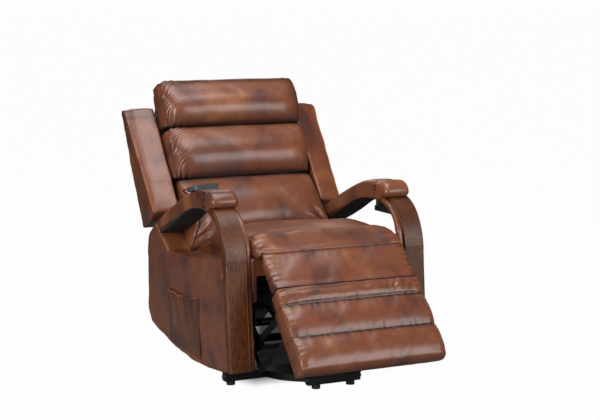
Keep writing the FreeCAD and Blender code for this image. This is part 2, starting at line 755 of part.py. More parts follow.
def side_pocket():
    """Flat pouch sewn on the sitter's right panel, open along its sagging top."""
    outer_x = -ARM_OUTER_X - POCKET_DEPTH
    corners = ((218.0, 276.0), (-61.0, 289.0), (-74.0, 74.0), (214.0, 86.0))

    def pouch(x0, x1, hem, lift):
        rear_top, front_top, front_low, rear_low = corners
        return slab(
            x0,
            x1,
            (rear_top[0] - hem, rear_top[1] + lift),
            ((80.0, 268.0 + lift), (front_top[0] + hem, front_top[1] + lift)),
            (front_low[0] + hem, front_low[1] + hem),
            ((60.0, 64.0 + hem), (rear_low[0] - hem, rear_low[1] + hem)),
        )

    outer = pouch(outer_x, -ARM_OUTER_X, 0.0, 0.0)
    cavity = pouch(outer_x + POCKET_WALL, -ARM_OUTER_X, POCKET_HEM, 40.0)
    return outer.cut(cavity)


# Footrest linkage

SWING_ELBOW = plus(SWING_PIVOT, CRANK)
SWING_TIP = plus(SWING_PIVOT, LONG_CRANK)
GUIDE_TIP = plus(GUIDE_PIVOT, CRANK)
BOARD_PIVOT = plus(SWING_ELBOW, CARRY)
BOARD_GUIDE = plus(SWING_TIP, CARRY)


def foot_lever_point():
    turn = math.radians(FOOT_LEVER_ANGLE)
    return plus(GUIDE_PIVOT, (FOOT_LEVER_LENGTH * math.sin(turn), -FOOT_LEVER_LENGTH * math.cos(turn)))


def drilled(shape, x0, x1, centre, radius):
    return shape.cut(rod(x0, x1, centre, radius))


def footrest_torque_tube():
    tube = rod(-CRANK_OUT, CRANK_OUT, GUIDE_PIVOT, TORQUE_TUBE_RADIUS)
    stubs = rod(-SIDE_PLATE_OUT, SIDE_PLATE_OUT, GUIDE_PIVOT, TORQUE_STUB_RADIUS)
    return fuse(tube, stubs, *lever_pair(FOOT_MOTOR_X, GUIDE_PIVOT, foot_lever_point(), RIVET_RADIUS))


def guide_links():
    link = bar(CRANK_IN, CRANK_OUT, GUIDE_PIVOT, GUIDE_TIP, LINK_WIDTH)
    link = link.fuse(rod(CRANK_IN, CRANK_OUT, GUIDE_PIVOT, TORQUE_TUBE_RADIUS + 7))
    link = drilled(link, CRANK_IN, CRANK_OUT, GUIDE_PIVOT, TORQUE_TUBE_RADIUS)
    return both_sides(fuse(link, rivet(CRANK_OUT, CARRY_IN, GUIDE_TIP)))


def swing_links():
    """Long bent cranks: the elbow carries one link and the tip the other."""
    link = bar(CRANK_IN, CRANK_OUT, SWING_PIVOT, SWING_ELBOW, LINK_WIDTH)
    link = link.fuse(bar(CRANK_IN, CRANK_OUT, SWING_ELBOW, SWING_TIP, LINK_WIDTH))
    link = drilled(link, CRANK_IN, CRANK_OUT, SWING_PIVOT, RIVET_RADIUS + RUNNING_CLEARANCE)
    for centre in (SWING_ELBOW, SWING_TIP):
        link = link.fuse(rivet(CRANK_OUT, CARRY_IN, centre))
    return both_sides(link.removeSplitter())


def carry_links():
    link = bar(CARRY_IN, CARRY_OUT, GUIDE_TIP, SWING_ELBOW, LINK_WIDTH)
    link = link.fuse(bar(CARRY_IN, CARRY_OUT, SWING_ELBOW, BOARD_PIVOT, LINK_WIDTH))
    link = drilled(link, CARRY_IN, CARRY_OUT, GUIDE_TIP, RIVET_RADIUS + OPEN_PIVOT_CLEARANCE)
    for centre in (SWING_ELBOW, BOARD_PIVOT):
        link = drilled(link, CARRY_IN, CARRY_OUT, centre, RIVET_RADIUS + RUNNING_CLEARANCE)
    return both_sides(link.removeSplitter())


def steer_links():
    link = bar(CARRY_IN, CARRY_OUT, SWING_TIP, BOARD_GUIDE, LINK_WIDTH)
    link = drilled(link, CARRY_IN, CARRY_OUT, SWING_TIP, RIVET_RADIUS + RUNNING_CLEARANCE)
    link = drilled(link, CARRY_IN, CARRY_OUT, BOARD_GUIDE, RIVET_RADIUS + OPEN_PIVOT_CLEARANCE)
    return both_sides(link)


# Footrest board, pad and flap


def footrest_brackets():
    """Plates from the board's rear face down to the two link pins, with a screw flange."""
    rear = PAD_REAR - BOARD_THICKNESS
    outline = [footrest_point(s, n) for s, n in ((194, rear), (318, rear), (316, -98), (196, -98))]
    plate = rounded_slab(BRACKET_IN, BRACKET_OUT, outline, 4.0)
    flange = [footrest_point(s, n) for s, n in ((204, rear), (308, rear), (308, rear - 4), (204, rear - 4))]
    plate = plate.fuse(slab(BRACKET_IN - 22, BRACKET_OUT, *flange))
    for centre in (BOARD_PIVOT, BOARD_GUIDE):
        plate = plate.fuse(rivet(BRACKET_OUT, CARRY_OUT, centre))
    return both_sides(plate.removeSplitter())


def footrest_board():
    rear = PAD_REAR - BOARD_THICKNESS
    corners = ((BOARD_START, rear), (BOARD_START, PAD_REAR), (BOARD_END, PAD_REAR), (BOARD_END, rear))
    outline = [footrest_point(s, n) for s, n in corners]
    return rounded_slab(-BOARD_HALF_WIDTH, BOARD_HALF_WIDTH, outline, 3.0)


def pad_section(x, pull):
    crease = PAD_CREASE - pull * 0.5
    crown = PAD_CROWN - pull
    start = CHANNELS[0] + 1 + pull * 0.3
    steps = [footrest_point(PAD_END - 6 - pull * 0.3, PAD_REAR)]
    through = footrest_point(PAD_END + 2 - pull * 0.4, PAD_REAR / 2 + 6)
    steps.append((through, footrest_point(PAD_END - 5 - pull * 0.3, crease)))
    ends = [start, CHANNELS[1], CHANNELS[2], PAD_END - 5 - pull * 0.3]
    for i in range(3, 0, -1):
        middle = (ends[i] + ends[i - 1]) / 2
        steps.append((footrest_point(middle, crown), footrest_point(ends[i - 1], crease)))
    return side_wire(x, footrest_point(start, PAD_REAR), *steps)


def footrest_pad():
    return pillow(pad_section, FOOTREST_HALF_WIDTH, 10.0)


def flap_section(x, pull):
    end = FLAP_LENGTH - 1
    return side_wire(
        x,
        footrest_point(4.0, -1.0),
        footrest_point(44.0, -FLAP_THICKNESS),
        footrest_point(end, -FLAP_THICKNESS),
        footrest_point(end, PAD_CREASE - pull * 0.5),
        (footrest_point(end * 0.6, 18.0 - pull), footrest_point(4.0, 4.0 - pull * 0.2)),
    )


def footrest_flap():
    return pillow(flap_section, FOOTREST_HALF_WIDTH, 10.0)


def flap_seam():
    """Piping along the seat edge that the flap hangs from."""
    centre = plus(SEAT_EDGE, (-3.4, 2.0))
    return rod(-FOOTREST_HALF_WIDTH + 6, FOOTREST_HALF_WIDTH - 6, centre, 3.0)


# Back rest


def back_hinge():
    """Pivot tube with two arms up into the back board and a lever for the motor."""
    tube = rod(-SIDE_PLATE_OUT, SIDE_PLATE_OUT, BACK_PIVOT, BACK_TUBE_RADIUS)
    parts = []
    for side in (-1, 1):
        x0 = side * BACK_ARM_X - LINK_THICKNESS / 2
        x1 = x0 + LINK_THICKNESS
        elbow = back_point(-BACK_BOARD_START, ROLL_REAR - BACK_BOARD_THICKNESS / 2)
        parts.append(bar(x0, x1, BACK_PIVOT, elbow, BACK_BOARD_THICKNESS))
        parts.append(hinge_blade(x0, x1))
    lever = plus(BACK_PIVOT, BACK_LEVER)
    return fuse(tube, *parts, *lever_pair(BACK_MOTOR_X, BACK_PIVOT, lever, CLEVIS_PIN_RADIUS))


def hinge_blade(x0, x1):
    front = ROLL_REAR
    rear = ROLL_REAR - BACK_BOARD_THICKNESS
    start = -BACK_BOARD_START
    corners = ((start, rear), (start, front), (BACK_ARM_REACH, front), (BACK_ARM_REACH, rear))
    return slab(x0, x1, *[back_point(s, n) for s, n in corners])


def back_board():
    front = ROLL_REAR
    rear = ROLL_REAR - BACK_BOARD_THICKNESS
    end = ROLL_EDGES[3] - 12
    corners = ((BACK_BOARD_START, rear), (BACK_BOARD_START, front), (end, front), (end, rear))
    board = slab(-WING_INNER_X, WING_INNER_X, *[back_point(s, n) for s, n in corners])
    for side in (-1, 1):
        x0 = side * BACK_ARM_X - LINK_THICKNESS / 2
        x1 = x0 + LINK_THICKNESS
        board = board.cut(hinge_blade(x0, x1))
    return narrow_foot(board)


def narrow_foot(shape):
    """Takes the lower corners off, where the back passes between the side panels."""
    rear = ROLL_REAR - BACK_BOARD_THICKNESS - 2 * BACK_COVER_THICKNESS
    corners = ((0.0, ROLL_REAR + 10), (BACK_FOOT_TOP, ROLL_REAR + 10), (BACK_FOOT_TOP, rear), (0.0, rear))
    outside = slab(BACK_FOOT_HALF_WIDTH, WING_OUTER_X, *[back_point(s, n) for s, n in corners])
    return shape.cut(outside).cut(mirrored(outside))


def back_cover():
    """Leather outside back, rounded over the top."""
    front = ROLL_REAR - BACK_BOARD_THICKNESS
    rear = front - BACK_COVER_THICKNESS
    end = ROLL_EDGES[3] - 12
    cover = slab(
        -WING_INNER_X,
        WING_INNER_X,
        back_point(BACK_BOARD_START, front),
        back_point(end, front),
        (back_point(end - 4, front - 14), back_point(end - 24, rear)),
        (back_point(280.0, rear - 9), back_point(BACK_BOARD_START, rear)),
    )
    return narrow_foot(cover)


def roll(s0, s1, half_width, bulge, low_belly, draw_in):
    """One stuffed roll of the back. A low belly puts its fullest part below its middle."""

    def section(x, pull):
        edge = ROLL_CREASE - pull * 0.4
        full = bulge - pull
        a = s0 + pull * 0.25
        b = s1 - pull * 0.25
        belly = s0 + (s1 - s0) * (0.34 if low_belly else 0.5)
        rear = ROLL_REAR
        if low_belly:
            front = [
                (back_point(a + (belly - a) * 0.28, full * 0.78), back_point(belly, full)),
                (back_point(belly + (b - belly) * 0.55, full * 0.66), back_point(b, edge)),
            ]
        else:
            front = [(back_point(belly, full), back_point(b, edge))]
        return side_wire(x, back_point(a, rear), back_point(a, edge), *front, back_point(b, rear))

    deep = LUMBAR_BULGE * 2
    corners = ((s0 + CREASE_GAP, ROLL_REAR), (s1, ROLL_REAR), (s1, deep), (s0 + CREASE_GAP, deep))
    between = slab(-half_width, half_width, *[back_point(s, n) for s, n in corners])
    return pillow(section, half_width, draw_in).common(between)


def lumbar_cushion():
    return roll(ROLL_EDGES[0], ROLL_EDGES[1], SEAT_HALF_WIDTH, LUMBAR_BULGE, True, 26.0)


def middle_cushion():
    return roll(ROLL_EDGES[1], ROLL_EDGES[2], UPPER_ROLL_HALF_WIDTH, ROLL_BULGE, False, 20.0)


def head_cushion():
    return roll(ROLL_EDGES[2], ROLL_EDGES[3], UPPER_ROLL_HALF_WIDTH, ROLL_BULGE, False, 20.0)


def wing():
    """Side wing whose front leans away from the sitter, both up its length and outwards."""

    def outline(forward):
        side = ((558.0, -108.0), (543.0, -86.0 + forward), (113.0, 4.0 + forward), (97.0, -46.0))
        rear = ((93.0, -131.0), (344.0, -129.0), (548.0, -117.0))
        return [back_point(s, n) for s, n in side + rear]

    wires = [
        rounded_wire(WING_INNER_X, outline(WING_FRONT_SLOPE), 6.0),
        rounded_wire(WING_OUTER_X, outline(0.0), 6.0),
    ]
    body = Part.makeLoft(wires, True, True)
    far = WING_OUTER_X + WING_FOOT_TAPER
    corners = ((WING_OUTER_X - WING_FOOT_TAPER, 60.0), (WING_OUTER_X, 540.0), (far, 540.0), (far, 60.0))
    points = [at_x(x, back_point(s, -200.0)) for x, s in corners]
    outside = Part.Face(Part.makePolygon(points + points[:1])).extrude(at_x(0, BACK_FRONT) * 400)
    return body.cut(outside)


# Actuators


def placed(shape, x, rear, front):
    """Turns a shape built along +Y onto the line from rear to front, at x."""
    turn = math.degrees(math.atan2(front[1] - rear[1], front[0] - rear[0]))
    moved = shape.copy()
    moved.rotate(Vector(0, 0, 0), X_AXIS, turn)
    moved.translate(at_x(x, rear))
    return moved


def along_y(radius, y0, y1, z=0.0):
    return Part.makeCylinder(radius, y1 - y0, Vector(0, y0, z), Vector(0, 1, 0))


def actuator_body(length, back_travel, can_side, neck=CLEVIS_RADIUS):
    """Rear eye, gearbox, motor beside the tube, and the outer tube that the rod slides in."""
    half_eye = EYE_WIDTH / 2
    gear_end = GEARBOX_LENGTH + neck
    eye = rod(-half_eye, half_eye, (0, 0), CLEVIS_RADIUS - 1)
    stem = box(-half_eye, half_eye, 0, neck + 2, -CLEVIS_RADIUS + 3, CLEVIS_RADIUS - 3)
    low = -GEARBOX_HALF_WIDTH
    high = MOTOR_OFFSET + MOTOR_RADIUS - 4
    case = box(-GEARBOX_HALF_WIDTH, GEARBOX_HALF_WIDTH, neck, gear_end, low, high)
    case = case.makeFillet(8.0, [e for e in case.Edges if abs(e.Vertexes[0].Y - e.Vertexes[-1].Y) > 1])
    can = along_y(MOTOR_RADIUS, gear_end, gear_end + MOTOR_LENGTH, MOTOR_OFFSET)
    tube_end = length - back_travel - 2 * CLEVIS_RADIUS
    tube = along_y(ACTUATOR_TUBE_RADIUS, gear_end, tube_end)
    nose = along_y(ACTUATOR_TUBE_RADIUS + 2, tube_end - 14, tube_end)
    body = fuse(eye, stem, case, can, tube, nose)
    body = body.cut(along_y(ROD_BORE_RADIUS, neck + 12, tube_end))
    body = body.cut(rod(-half_eye, half_eye, (0, 0), CLEVIS_PIN_RADIUS + RUNNING_CLEARANCE))
    if can_side < 0:
        body = body.mirror(Vector(0, 0, 0), Vector(0, 0, 1))
    return body


def actuator_rod(length, back_travel, slot, slot_shift, neck=CLEVIS_RADIUS):
    """Round rod with a flat tongue, slotted across for the lever pin."""
    half_slot, half_height = slot
    tongue_half = half_height + 7
    shaft = along_y(ROD_RADIUS, neck + 16 + back_travel, length - half_slot - 4)
    thick = CLEVIS_GAP - 1.5
    front = length + half_slot + 6
    back = length - half_slot - 6
    low = slot_shift - tongue_half
    high = slot_shift + tongue_half
    tongue = slab(-thick, thick, (back, low), (front, low), (front, high), (back, high))
    straight = half_height - half_slot
    hole = bar(-thick, thick, (length, slot_shift - straight), (length, slot_shift + straight), 2 * half_slot)
    return fuse(shaft, tongue).cut(hole)


LIFT_MOTOR_LENGTH = math.dist(LIFT_MOTOR_REAR, lift_lever_point())
FOOT_MOTOR_LENGTH = math.dist(FOOT_MOTOR_REAR, foot_lever_point())
BACK_MOTOR_LENGTH = math.dist(BACK_MOTOR_REAR, plus(BACK_PIVOT, BACK_LEVER))
FOOT_BACK_TRAVEL = 32.0
BACK_BACK_TRAVEL = 38.0


def lift_motor():
    body = actuator_body(LIFT_MOTOR_LENGTH, 0.0, 1)
    return placed(body, 0.0, LIFT_MOTOR_REAR, lift_lever_point())


def lift_motor_rod():
    shape = actuator_rod(LIFT_MOTOR_LENGTH, 0.0, LIFT_SLOT, -1.2)
    return placed(shape, 0.0, LIFT_MOTOR_REAR, lift_lever_point())


def footrest_motor():
    body = actuator_body(FOOT_MOTOR_LENGTH, FOOT_BACK_TRAVEL, 1)
    return placed(body, FOOT_MOTOR_X, FOOT_MOTOR_REAR, foot_lever_point())


def footrest_motor_rod():
    shape = actuator_rod(FOOT_MOTOR_LENGTH, FOOT_BACK_TRAVEL, FOOT_SLOT, -6.5)
    return placed(shape, FOOT_MOTOR_X, FOOT_MOTOR_REAR, foot_lever_point())


def recline_motor():
    body = actuator_body(BACK_MOTOR_LENGTH, BACK_BACK_TRAVEL, -1, BACK_MOTOR_NECK)
    return placed(body, BACK_MOTOR_X, BACK_MOTOR_REAR, plus(BACK_PIVOT, BACK_LEVER))


def recline_motor_rod():
    shape = actuator_rod(BACK_MOTOR_LENGTH, BACK_BACK_TRAVEL, BACK_SLOT, 0.0, BACK_MOTOR_NECK)
    return placed(shape, BACK_MOTOR_X, BACK_MOTOR_REAR, plus(BACK_PIVOT, BACK_LEVER))


# Handsets and cord


def on_arm(shape):
    """Lays a shape built about the handset's middle on the crest of the sitter's right arm."""
    moved = shape.copy()
    moved.rotate(Vector(0, 0, 0), Vector(0, 0, 1), HANDSET_YAW)
    moved.rotate(Vector(0, 0, 0), X_AXIS, HANDSET_PITCH)
    moved.translate(Vector(HANDSET_X, ARM_CREST[0], ARM_CREST[1] + SOFT_GAP))
    return moved


def handset_button_spots():
    first = -HANDSET_LENGTH / 2 + 14
    return [(first + i * BUTTON_STEP, side * BUTTON_STEP / 2) for i in range(2) for side in (-1, 1)]


def handset():
    """Wired control with a thick end and a lower keypad end."""
    half = HANDSET_LENGTH / 2
    side = -HANDSET_WIDTH / 2
    profile = [(-half, 0), (half, 0), (half, HANDSET_THICK_END), (-6, HANDSET_THICK_END)]
    profile += [(-14, HANDSET_THIN_END), (-half, HANDSET_THIN_END)]
    points = [Vector(u, side, z) for u, z in profile]
    body = Part.Face(Part.makePolygon(points + points[:1])).extrude(Vector(0, HANDSET_WIDTH, 0))
    corners = [e for e in body.Edges if abs(abs(e.CenterOfMass.x) - half) < 1e-6 and e.Length < 30]
    body = body.makeFillet(7.0, corners)
    for u, v in handset_button_spots():
        depth = BUTTON_DEPTH + BUTTON_TRAVEL + 0.4
        seat = Vector(u, v, HANDSET_THIN_END - depth)
        body = body.cut(Part.makeCylinder(BUTTON_RADIUS + BUTTON_CLEARANCE, depth, seat))
    return on_arm(body)


def handset_button(index):
    u, v = handset_button_spots()[index]
    height = BUTTON_DEPTH + BUTTON_RAISE
    key = Part.makeCylinder(BUTTON_RADIUS, height, Vector(u, v, HANDSET_THIN_END - BUTTON_DEPTH))
    return on_arm(key.makeChamfer(0.5, [key.Edges[0]]))


SIDE_HANDSET_INNER_X = ARM_OUTER_X + HOLDER_WALL + SOFT_GAP
SIDE_HANDSET_OUTER_X = SIDE_HANDSET_INNER_X + SIDE_HANDSET_THICKNESS


def side_button_spots():
    middle = SIDE_HANDSET_BOTTOM + SIDE_HANDSET_HEIGHT * 0.6
    return [(SIDE_HANDSET_Y + side * BUTTON_STEP, middle) for side in (-1, 1)]


def massage_handset():
    half = SIDE_HANDSET_LENGTH / 2
    y0 = SIDE_HANDSET_Y - half
    y1 = SIDE_HANDSET_Y + half
    z0 = SIDE_HANDSET_BOTTOM
    z1 = z0 + SIDE_HANDSET_HEIGHT
    outline = ((y0, z0), (y0, z1), (y1, z1), (y1, z0))
    body = rounded_slab(SIDE_HANDSET_INNER_X, SIDE_HANDSET_OUTER_X, outline, 8.0)
    depth = BUTTON_DEPTH + BUTTON_TRAVEL + 0.4
    for spot in side_button_spots():
        seat = rod(SIDE_HANDSET_OUTER_X - depth, SIDE_HANDSET_OUTER_X, spot, BUTTON_RADIUS + BUTTON_CLEARANCE)
        body = body.cut(seat)
    return body


def massage_button(index):
    spot = side_button_spots()[index]
    inner = SIDE_HANDSET_OUTER_X - BUTTON_DEPTH
    key = rod(inner, SIDE_HANDSET_OUTER_X + BUTTON_RAISE, spot, BUTTON_RADIUS)
    return key.makeChamfer(0.5, [key.Edges[0]])


def handset_holder():
    """Cradle screwed to the outside of the sitter's left arm."""
    half = SIDE_HANDSET_LENGTH / 2 + SOFT_GAP
    y0 = SIDE_HANDSET_Y - half
    y1 = SIDE_HANDSET_Y + half
    floor = SIDE_HANDSET_BOTTOM - SOFT_GAP
    outer = SIDE_HANDSET_OUTER_X
    lip = outer + SOFT_GAP + HOLDER_WALL
    plate = box(ARM_OUTER_X, ARM_OUTER_X + HOLDER_WALL, y0 + 30, y1 - 30, floor, 636.0)
    tray = box(ARM_OUTER_X, lip, y0 - HOLDER_WALL, y1 + HOLDER_WALL, floor - HOLDER_WALL, floor + 16)
    tray = tray.cut(box(ARM_OUTER_X + HOLDER_WALL, outer + SOFT_GAP, y0, y1, floor, floor + 16))
    return fuse(plate, tray)


# Cord from the handset over the arm and down beside the seat, points chosen by hand

# Each point of the cord: outwards from the arm's inner face, then its side-view point
CORD_POINTS = (
    (101.3, 11.9, 660.2),
    (106.0, 23.0, 657.2),
    (106.5, 42.0, 653.5),
    (97.0, 60.0, 646.5),
    (79.0, 78.0, 635.0),
    (58.0, 102.0, 624.5),
    (36.0, 124.0, 614.0),
    (13.0, 138.0, 607.0),
    (-5.0, 148.0, 597.0),
    (-4.0, 158.0, 556.0),
    (-4.0, 168.0, 516.0),
    (1.0, 172.0, 481.0),
    (14.0, 168.0, 455.0),
    (22.0, 165.0, 434.0),
    (22.5, 164.5, 419.1),
)


def cord_path():
    """Straight runs joined by the largest tangent arcs that fit."""
    points = [Vector(-ARM_INNER_X - out, y, z) for out, y, z in CORD_POINTS]
    edges = []
    here = points[0]
    radii = []
    for before, corner, after in zip(points, points[1:], points[2:]):
        a = (before - corner).normalize()
        b = (after - corner).normalize()
        half = a.getAngle(b) / 2
        trim = 0.45 * min(before.distanceToPoint(corner), after.distanceToPoint(corner))
        radii.append(trim * math.tan(half))
        first = corner + a * trim
        last = corner + b * trim
        bisector = (a + b).normalize()
        middle = corner + bisector * (trim / math.cos(half) - radii[-1])
        edges.append(Part.makeLine(here, first))
        edges.append(Part.Arc(first, middle, last).toShape())
        here = last
    edges.append(Part.makeLine(here, points[-1]))
    print("cord radii", [round(r, 1) for r in radii])
    return Part.Wire(edges)


def handset_cord():
    path = cord_path()
    start = path.Vertexes[0].Point
    direction = (path.Vertexes[1].Point - start).normalize()
    side = direction.cross(Vector(0, 0, 1)).normalize() * CORD_RADIUS
    corners = []
    for i in range(CORD_SIDES + 1):
        turn = FreeCAD.Rotation(direction, 360 / CORD_SIDES * i)
        corners.append(start + turn.multVec(side))
    tube = path.makePipeShell([Part.makePolygon(corners)], True, True)
    section = CORD_SIDES / 2 * CORD_RADIUS**2 * math.sin(2 * math.pi / CORD_SIDES)
    print("cord length %.1f, volume share %.4f" % (path.Length, tube.Volume / (section * path.Length)))
    return tube


def cord_grommet():
    out, y, z = CORD_POINTS[-1]
    foot = Vector(-ARM_INNER_X - out, y, z - GROMMET_DEPTH)
    return Part.makeCylinder(CORD_RADIUS + 4, GROMMET_DEPTH, foot)


def build():
    """Every node of the chair by name."""
    panel = side_panel()
    pad = arm_pad()
    post = arm_post()
    left_wing = wing()
    nodes = {
        "base_frame": base_frame(),
        "front_pan": front_pan(),
        "front_foot_bar": front_foot_bar(),
        "levelling_feet": levelling_feet(),
        "base_brackets": base_brackets(),
        "base_bolts": base_bolts(),
        "lift_torque_tube": lift_torque_tube(),
        "lift_arms": lift_arms(),
        "lift_links": lift_links(),
        "lift_motor": lift_motor(),
        "lift_motor_rod": lift_motor_rod(),
        "lift_plates": lift_plates(),
        "side_plates": side_plates(),
        "seat_rails": seat_rails(),
        "seat_cross_tubes": seat_cross_tubes(),
        "seat_springs": seat_springs(),
        "seat_cushion": seat_cushion(),
        "seat_front_rail": seat_front_rail(),
        "side_panel_left": panel,
        "side_panel_right": mirrored(panel),
        "side_pocket": side_pocket(),
        "rear_skirt": rear_skirt(),
        "arm_pad_left": pad,
        "arm_pad_right": mirrored(pad),
        "arm_post_left": post,
        "arm_post_right": mirrored(post),
        "post_boards": post_boards(),
        "footrest_torque_tube": footrest_torque_tube(),
        "guide_links": guide_links(),
        "swing_links": swing_links(),
        "carry_links": carry_links(),
        "steer_links": steer_links(),
        "footrest_brackets": footrest_brackets(),
        "footrest_board": footrest_board(),
        "footrest_pad": footrest_pad(),
        "flap_seam": flap_seam(),
        "footrest_flap": footrest_flap(),
        "footrest_motor": footrest_motor(),
        "footrest_motor_rod": footrest_motor_rod(),
        "back_hinge": back_hinge(),
        "back_board": back_board(),
        "back_cover": back_cover(),
        "lumbar_cushion": lumbar_cushion(),
        "middle_cushion": middle_cushion(),
        "head_cushion": head_cushion(),
        "wing_left": left_wing,
        "wing_right": mirrored(left_wing),
        "recline_motor": recline_motor(),
        "recline_motor_rod": recline_motor_rod(),
        "handset": handset(),
        "handset_cord": handset_cord(),
        "cord_grommet": cord_grommet(),
        "massage_handset": massage_handset(),
        "handset_holder": handset_holder(),
    }
    for i in range(4):
        nodes["handset_button_%d" % (i + 1)] = handset_button(i)
    for i in range(2):
        nodes["massage_button_%d" % (i + 1)] = massage_button(i)
    return nodes


os.makedirs("parts", exist_ok=True)
for name, shape in build().items():
    shape.translate(Vector(0, DEPTH_SHIFT, 0))
    shape.exportStep("parts/%s.step" % name)
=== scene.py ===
"""Leather, walnut, steel and plastic of a powered lift armchair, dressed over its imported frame."""

import json
import logging
import math
from collections.abc import Callable, Sequence
from dataclasses import dataclass
from enum import Enum

import bpy
import numpy as np
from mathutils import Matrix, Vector
from mathutils.bvhtree import BVHTree


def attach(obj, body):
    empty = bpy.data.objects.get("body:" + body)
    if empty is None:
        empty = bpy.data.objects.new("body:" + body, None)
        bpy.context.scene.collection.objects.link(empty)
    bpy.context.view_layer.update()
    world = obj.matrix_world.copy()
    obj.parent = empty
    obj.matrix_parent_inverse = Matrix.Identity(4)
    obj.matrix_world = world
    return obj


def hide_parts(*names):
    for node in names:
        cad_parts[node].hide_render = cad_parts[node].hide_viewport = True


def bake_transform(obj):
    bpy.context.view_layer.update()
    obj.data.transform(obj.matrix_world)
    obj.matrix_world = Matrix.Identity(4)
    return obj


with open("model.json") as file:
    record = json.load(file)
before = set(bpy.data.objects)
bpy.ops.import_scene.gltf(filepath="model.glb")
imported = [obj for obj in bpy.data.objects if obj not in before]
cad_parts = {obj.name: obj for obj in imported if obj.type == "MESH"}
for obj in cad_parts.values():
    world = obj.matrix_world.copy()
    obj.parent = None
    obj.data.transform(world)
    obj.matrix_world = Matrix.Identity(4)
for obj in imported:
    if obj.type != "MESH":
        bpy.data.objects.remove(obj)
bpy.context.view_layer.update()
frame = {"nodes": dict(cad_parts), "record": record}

log = logging.getLogger("armchair")
Point = tuple[float, float, float]
Colour = tuple[float, float, float]
Field = Callable[[np.ndarray], np.ndarray]

# The frame is in metres: x towards the sitter's left, y towards the rear, z up.
DEPTH_SHIFT = 0.000744  # from the side view's zero to the frame's, along y
ARM_INNER_X = 0.284
ARM_OUTER_X = 0.379
POST_INNER_X = 0.304
WELD = 0.00002  # points closer than this are one
LINE_SIDES = 2
LINE_STEPS = 5
# Stored at the leather's points: painted shade below 0, and rubbed wear with painted highlight above 0.
WEAR_SHADE_HIGHLIGHT = "wear"  # point attribute that the leathers read


class Slot(Enum):
    """Material slots of the record, passed along with new pieces."""

    LEATHER = "leather"
    CLOTH = "dust_cloth"
    RUBBER = "black_rubber"


# Shader graphs


def toned(colour: Colour, factor: float) -> Colour:
    """Colour made darker or lighter by a factor, and white at the most."""
    return tuple(min(channel * factor, 1.0) for channel in colour)


class Value:
    """A number socket that takes part in Python arithmetic by adding Math nodes."""

    def __init__(self, graph: "Graph", socket: bpy.types.NodeSocket) -> None:
        """Keeps the graph and the socket that holds the value."""
        self.graph = graph
        self.socket = socket

    def _math(self, operation: str, first: object, second: object) -> "Value":
        """Adds one Math node.

        Args:
            operation: The Math node's operation.
            first: Value or number for the first input.
            second: Value or number for the second input.

        Returns:
            The node's result.
        """
        node = self.graph.node("ShaderNodeMath", {"operation": operation}, {0: first, 1: second})
        return Value(self.graph, node.outputs[0])

    def __add__(self, other: object) -> "Value":
        """Sum."""
        return self._math("ADD", self, other)

    def __sub__(self, other: object) -> "Value":
        """Difference."""
        return self._math("SUBTRACT", self, other)

    def __mul__(self, other: object) -> "Value":
        """Product."""
        return self._math("MULTIPLY", self, other)

    def __pow__(self, other: object) -> "Value":
        """Power."""
        return self._math("POWER", self, other)

    def __rsub__(self, other: object) -> "Value":
        """Difference taken from a number."""
        return self._math("SUBTRACT", other, self)

    __radd__ = __add__
    __rmul__ = __mul__

    def clamped(self, low: float = 0.0, high: float = 1.0) -> "Value":
        """Value held between two numbers."""
        return self._math("MINIMUM", self._math("MAXIMUM", self, low), high)


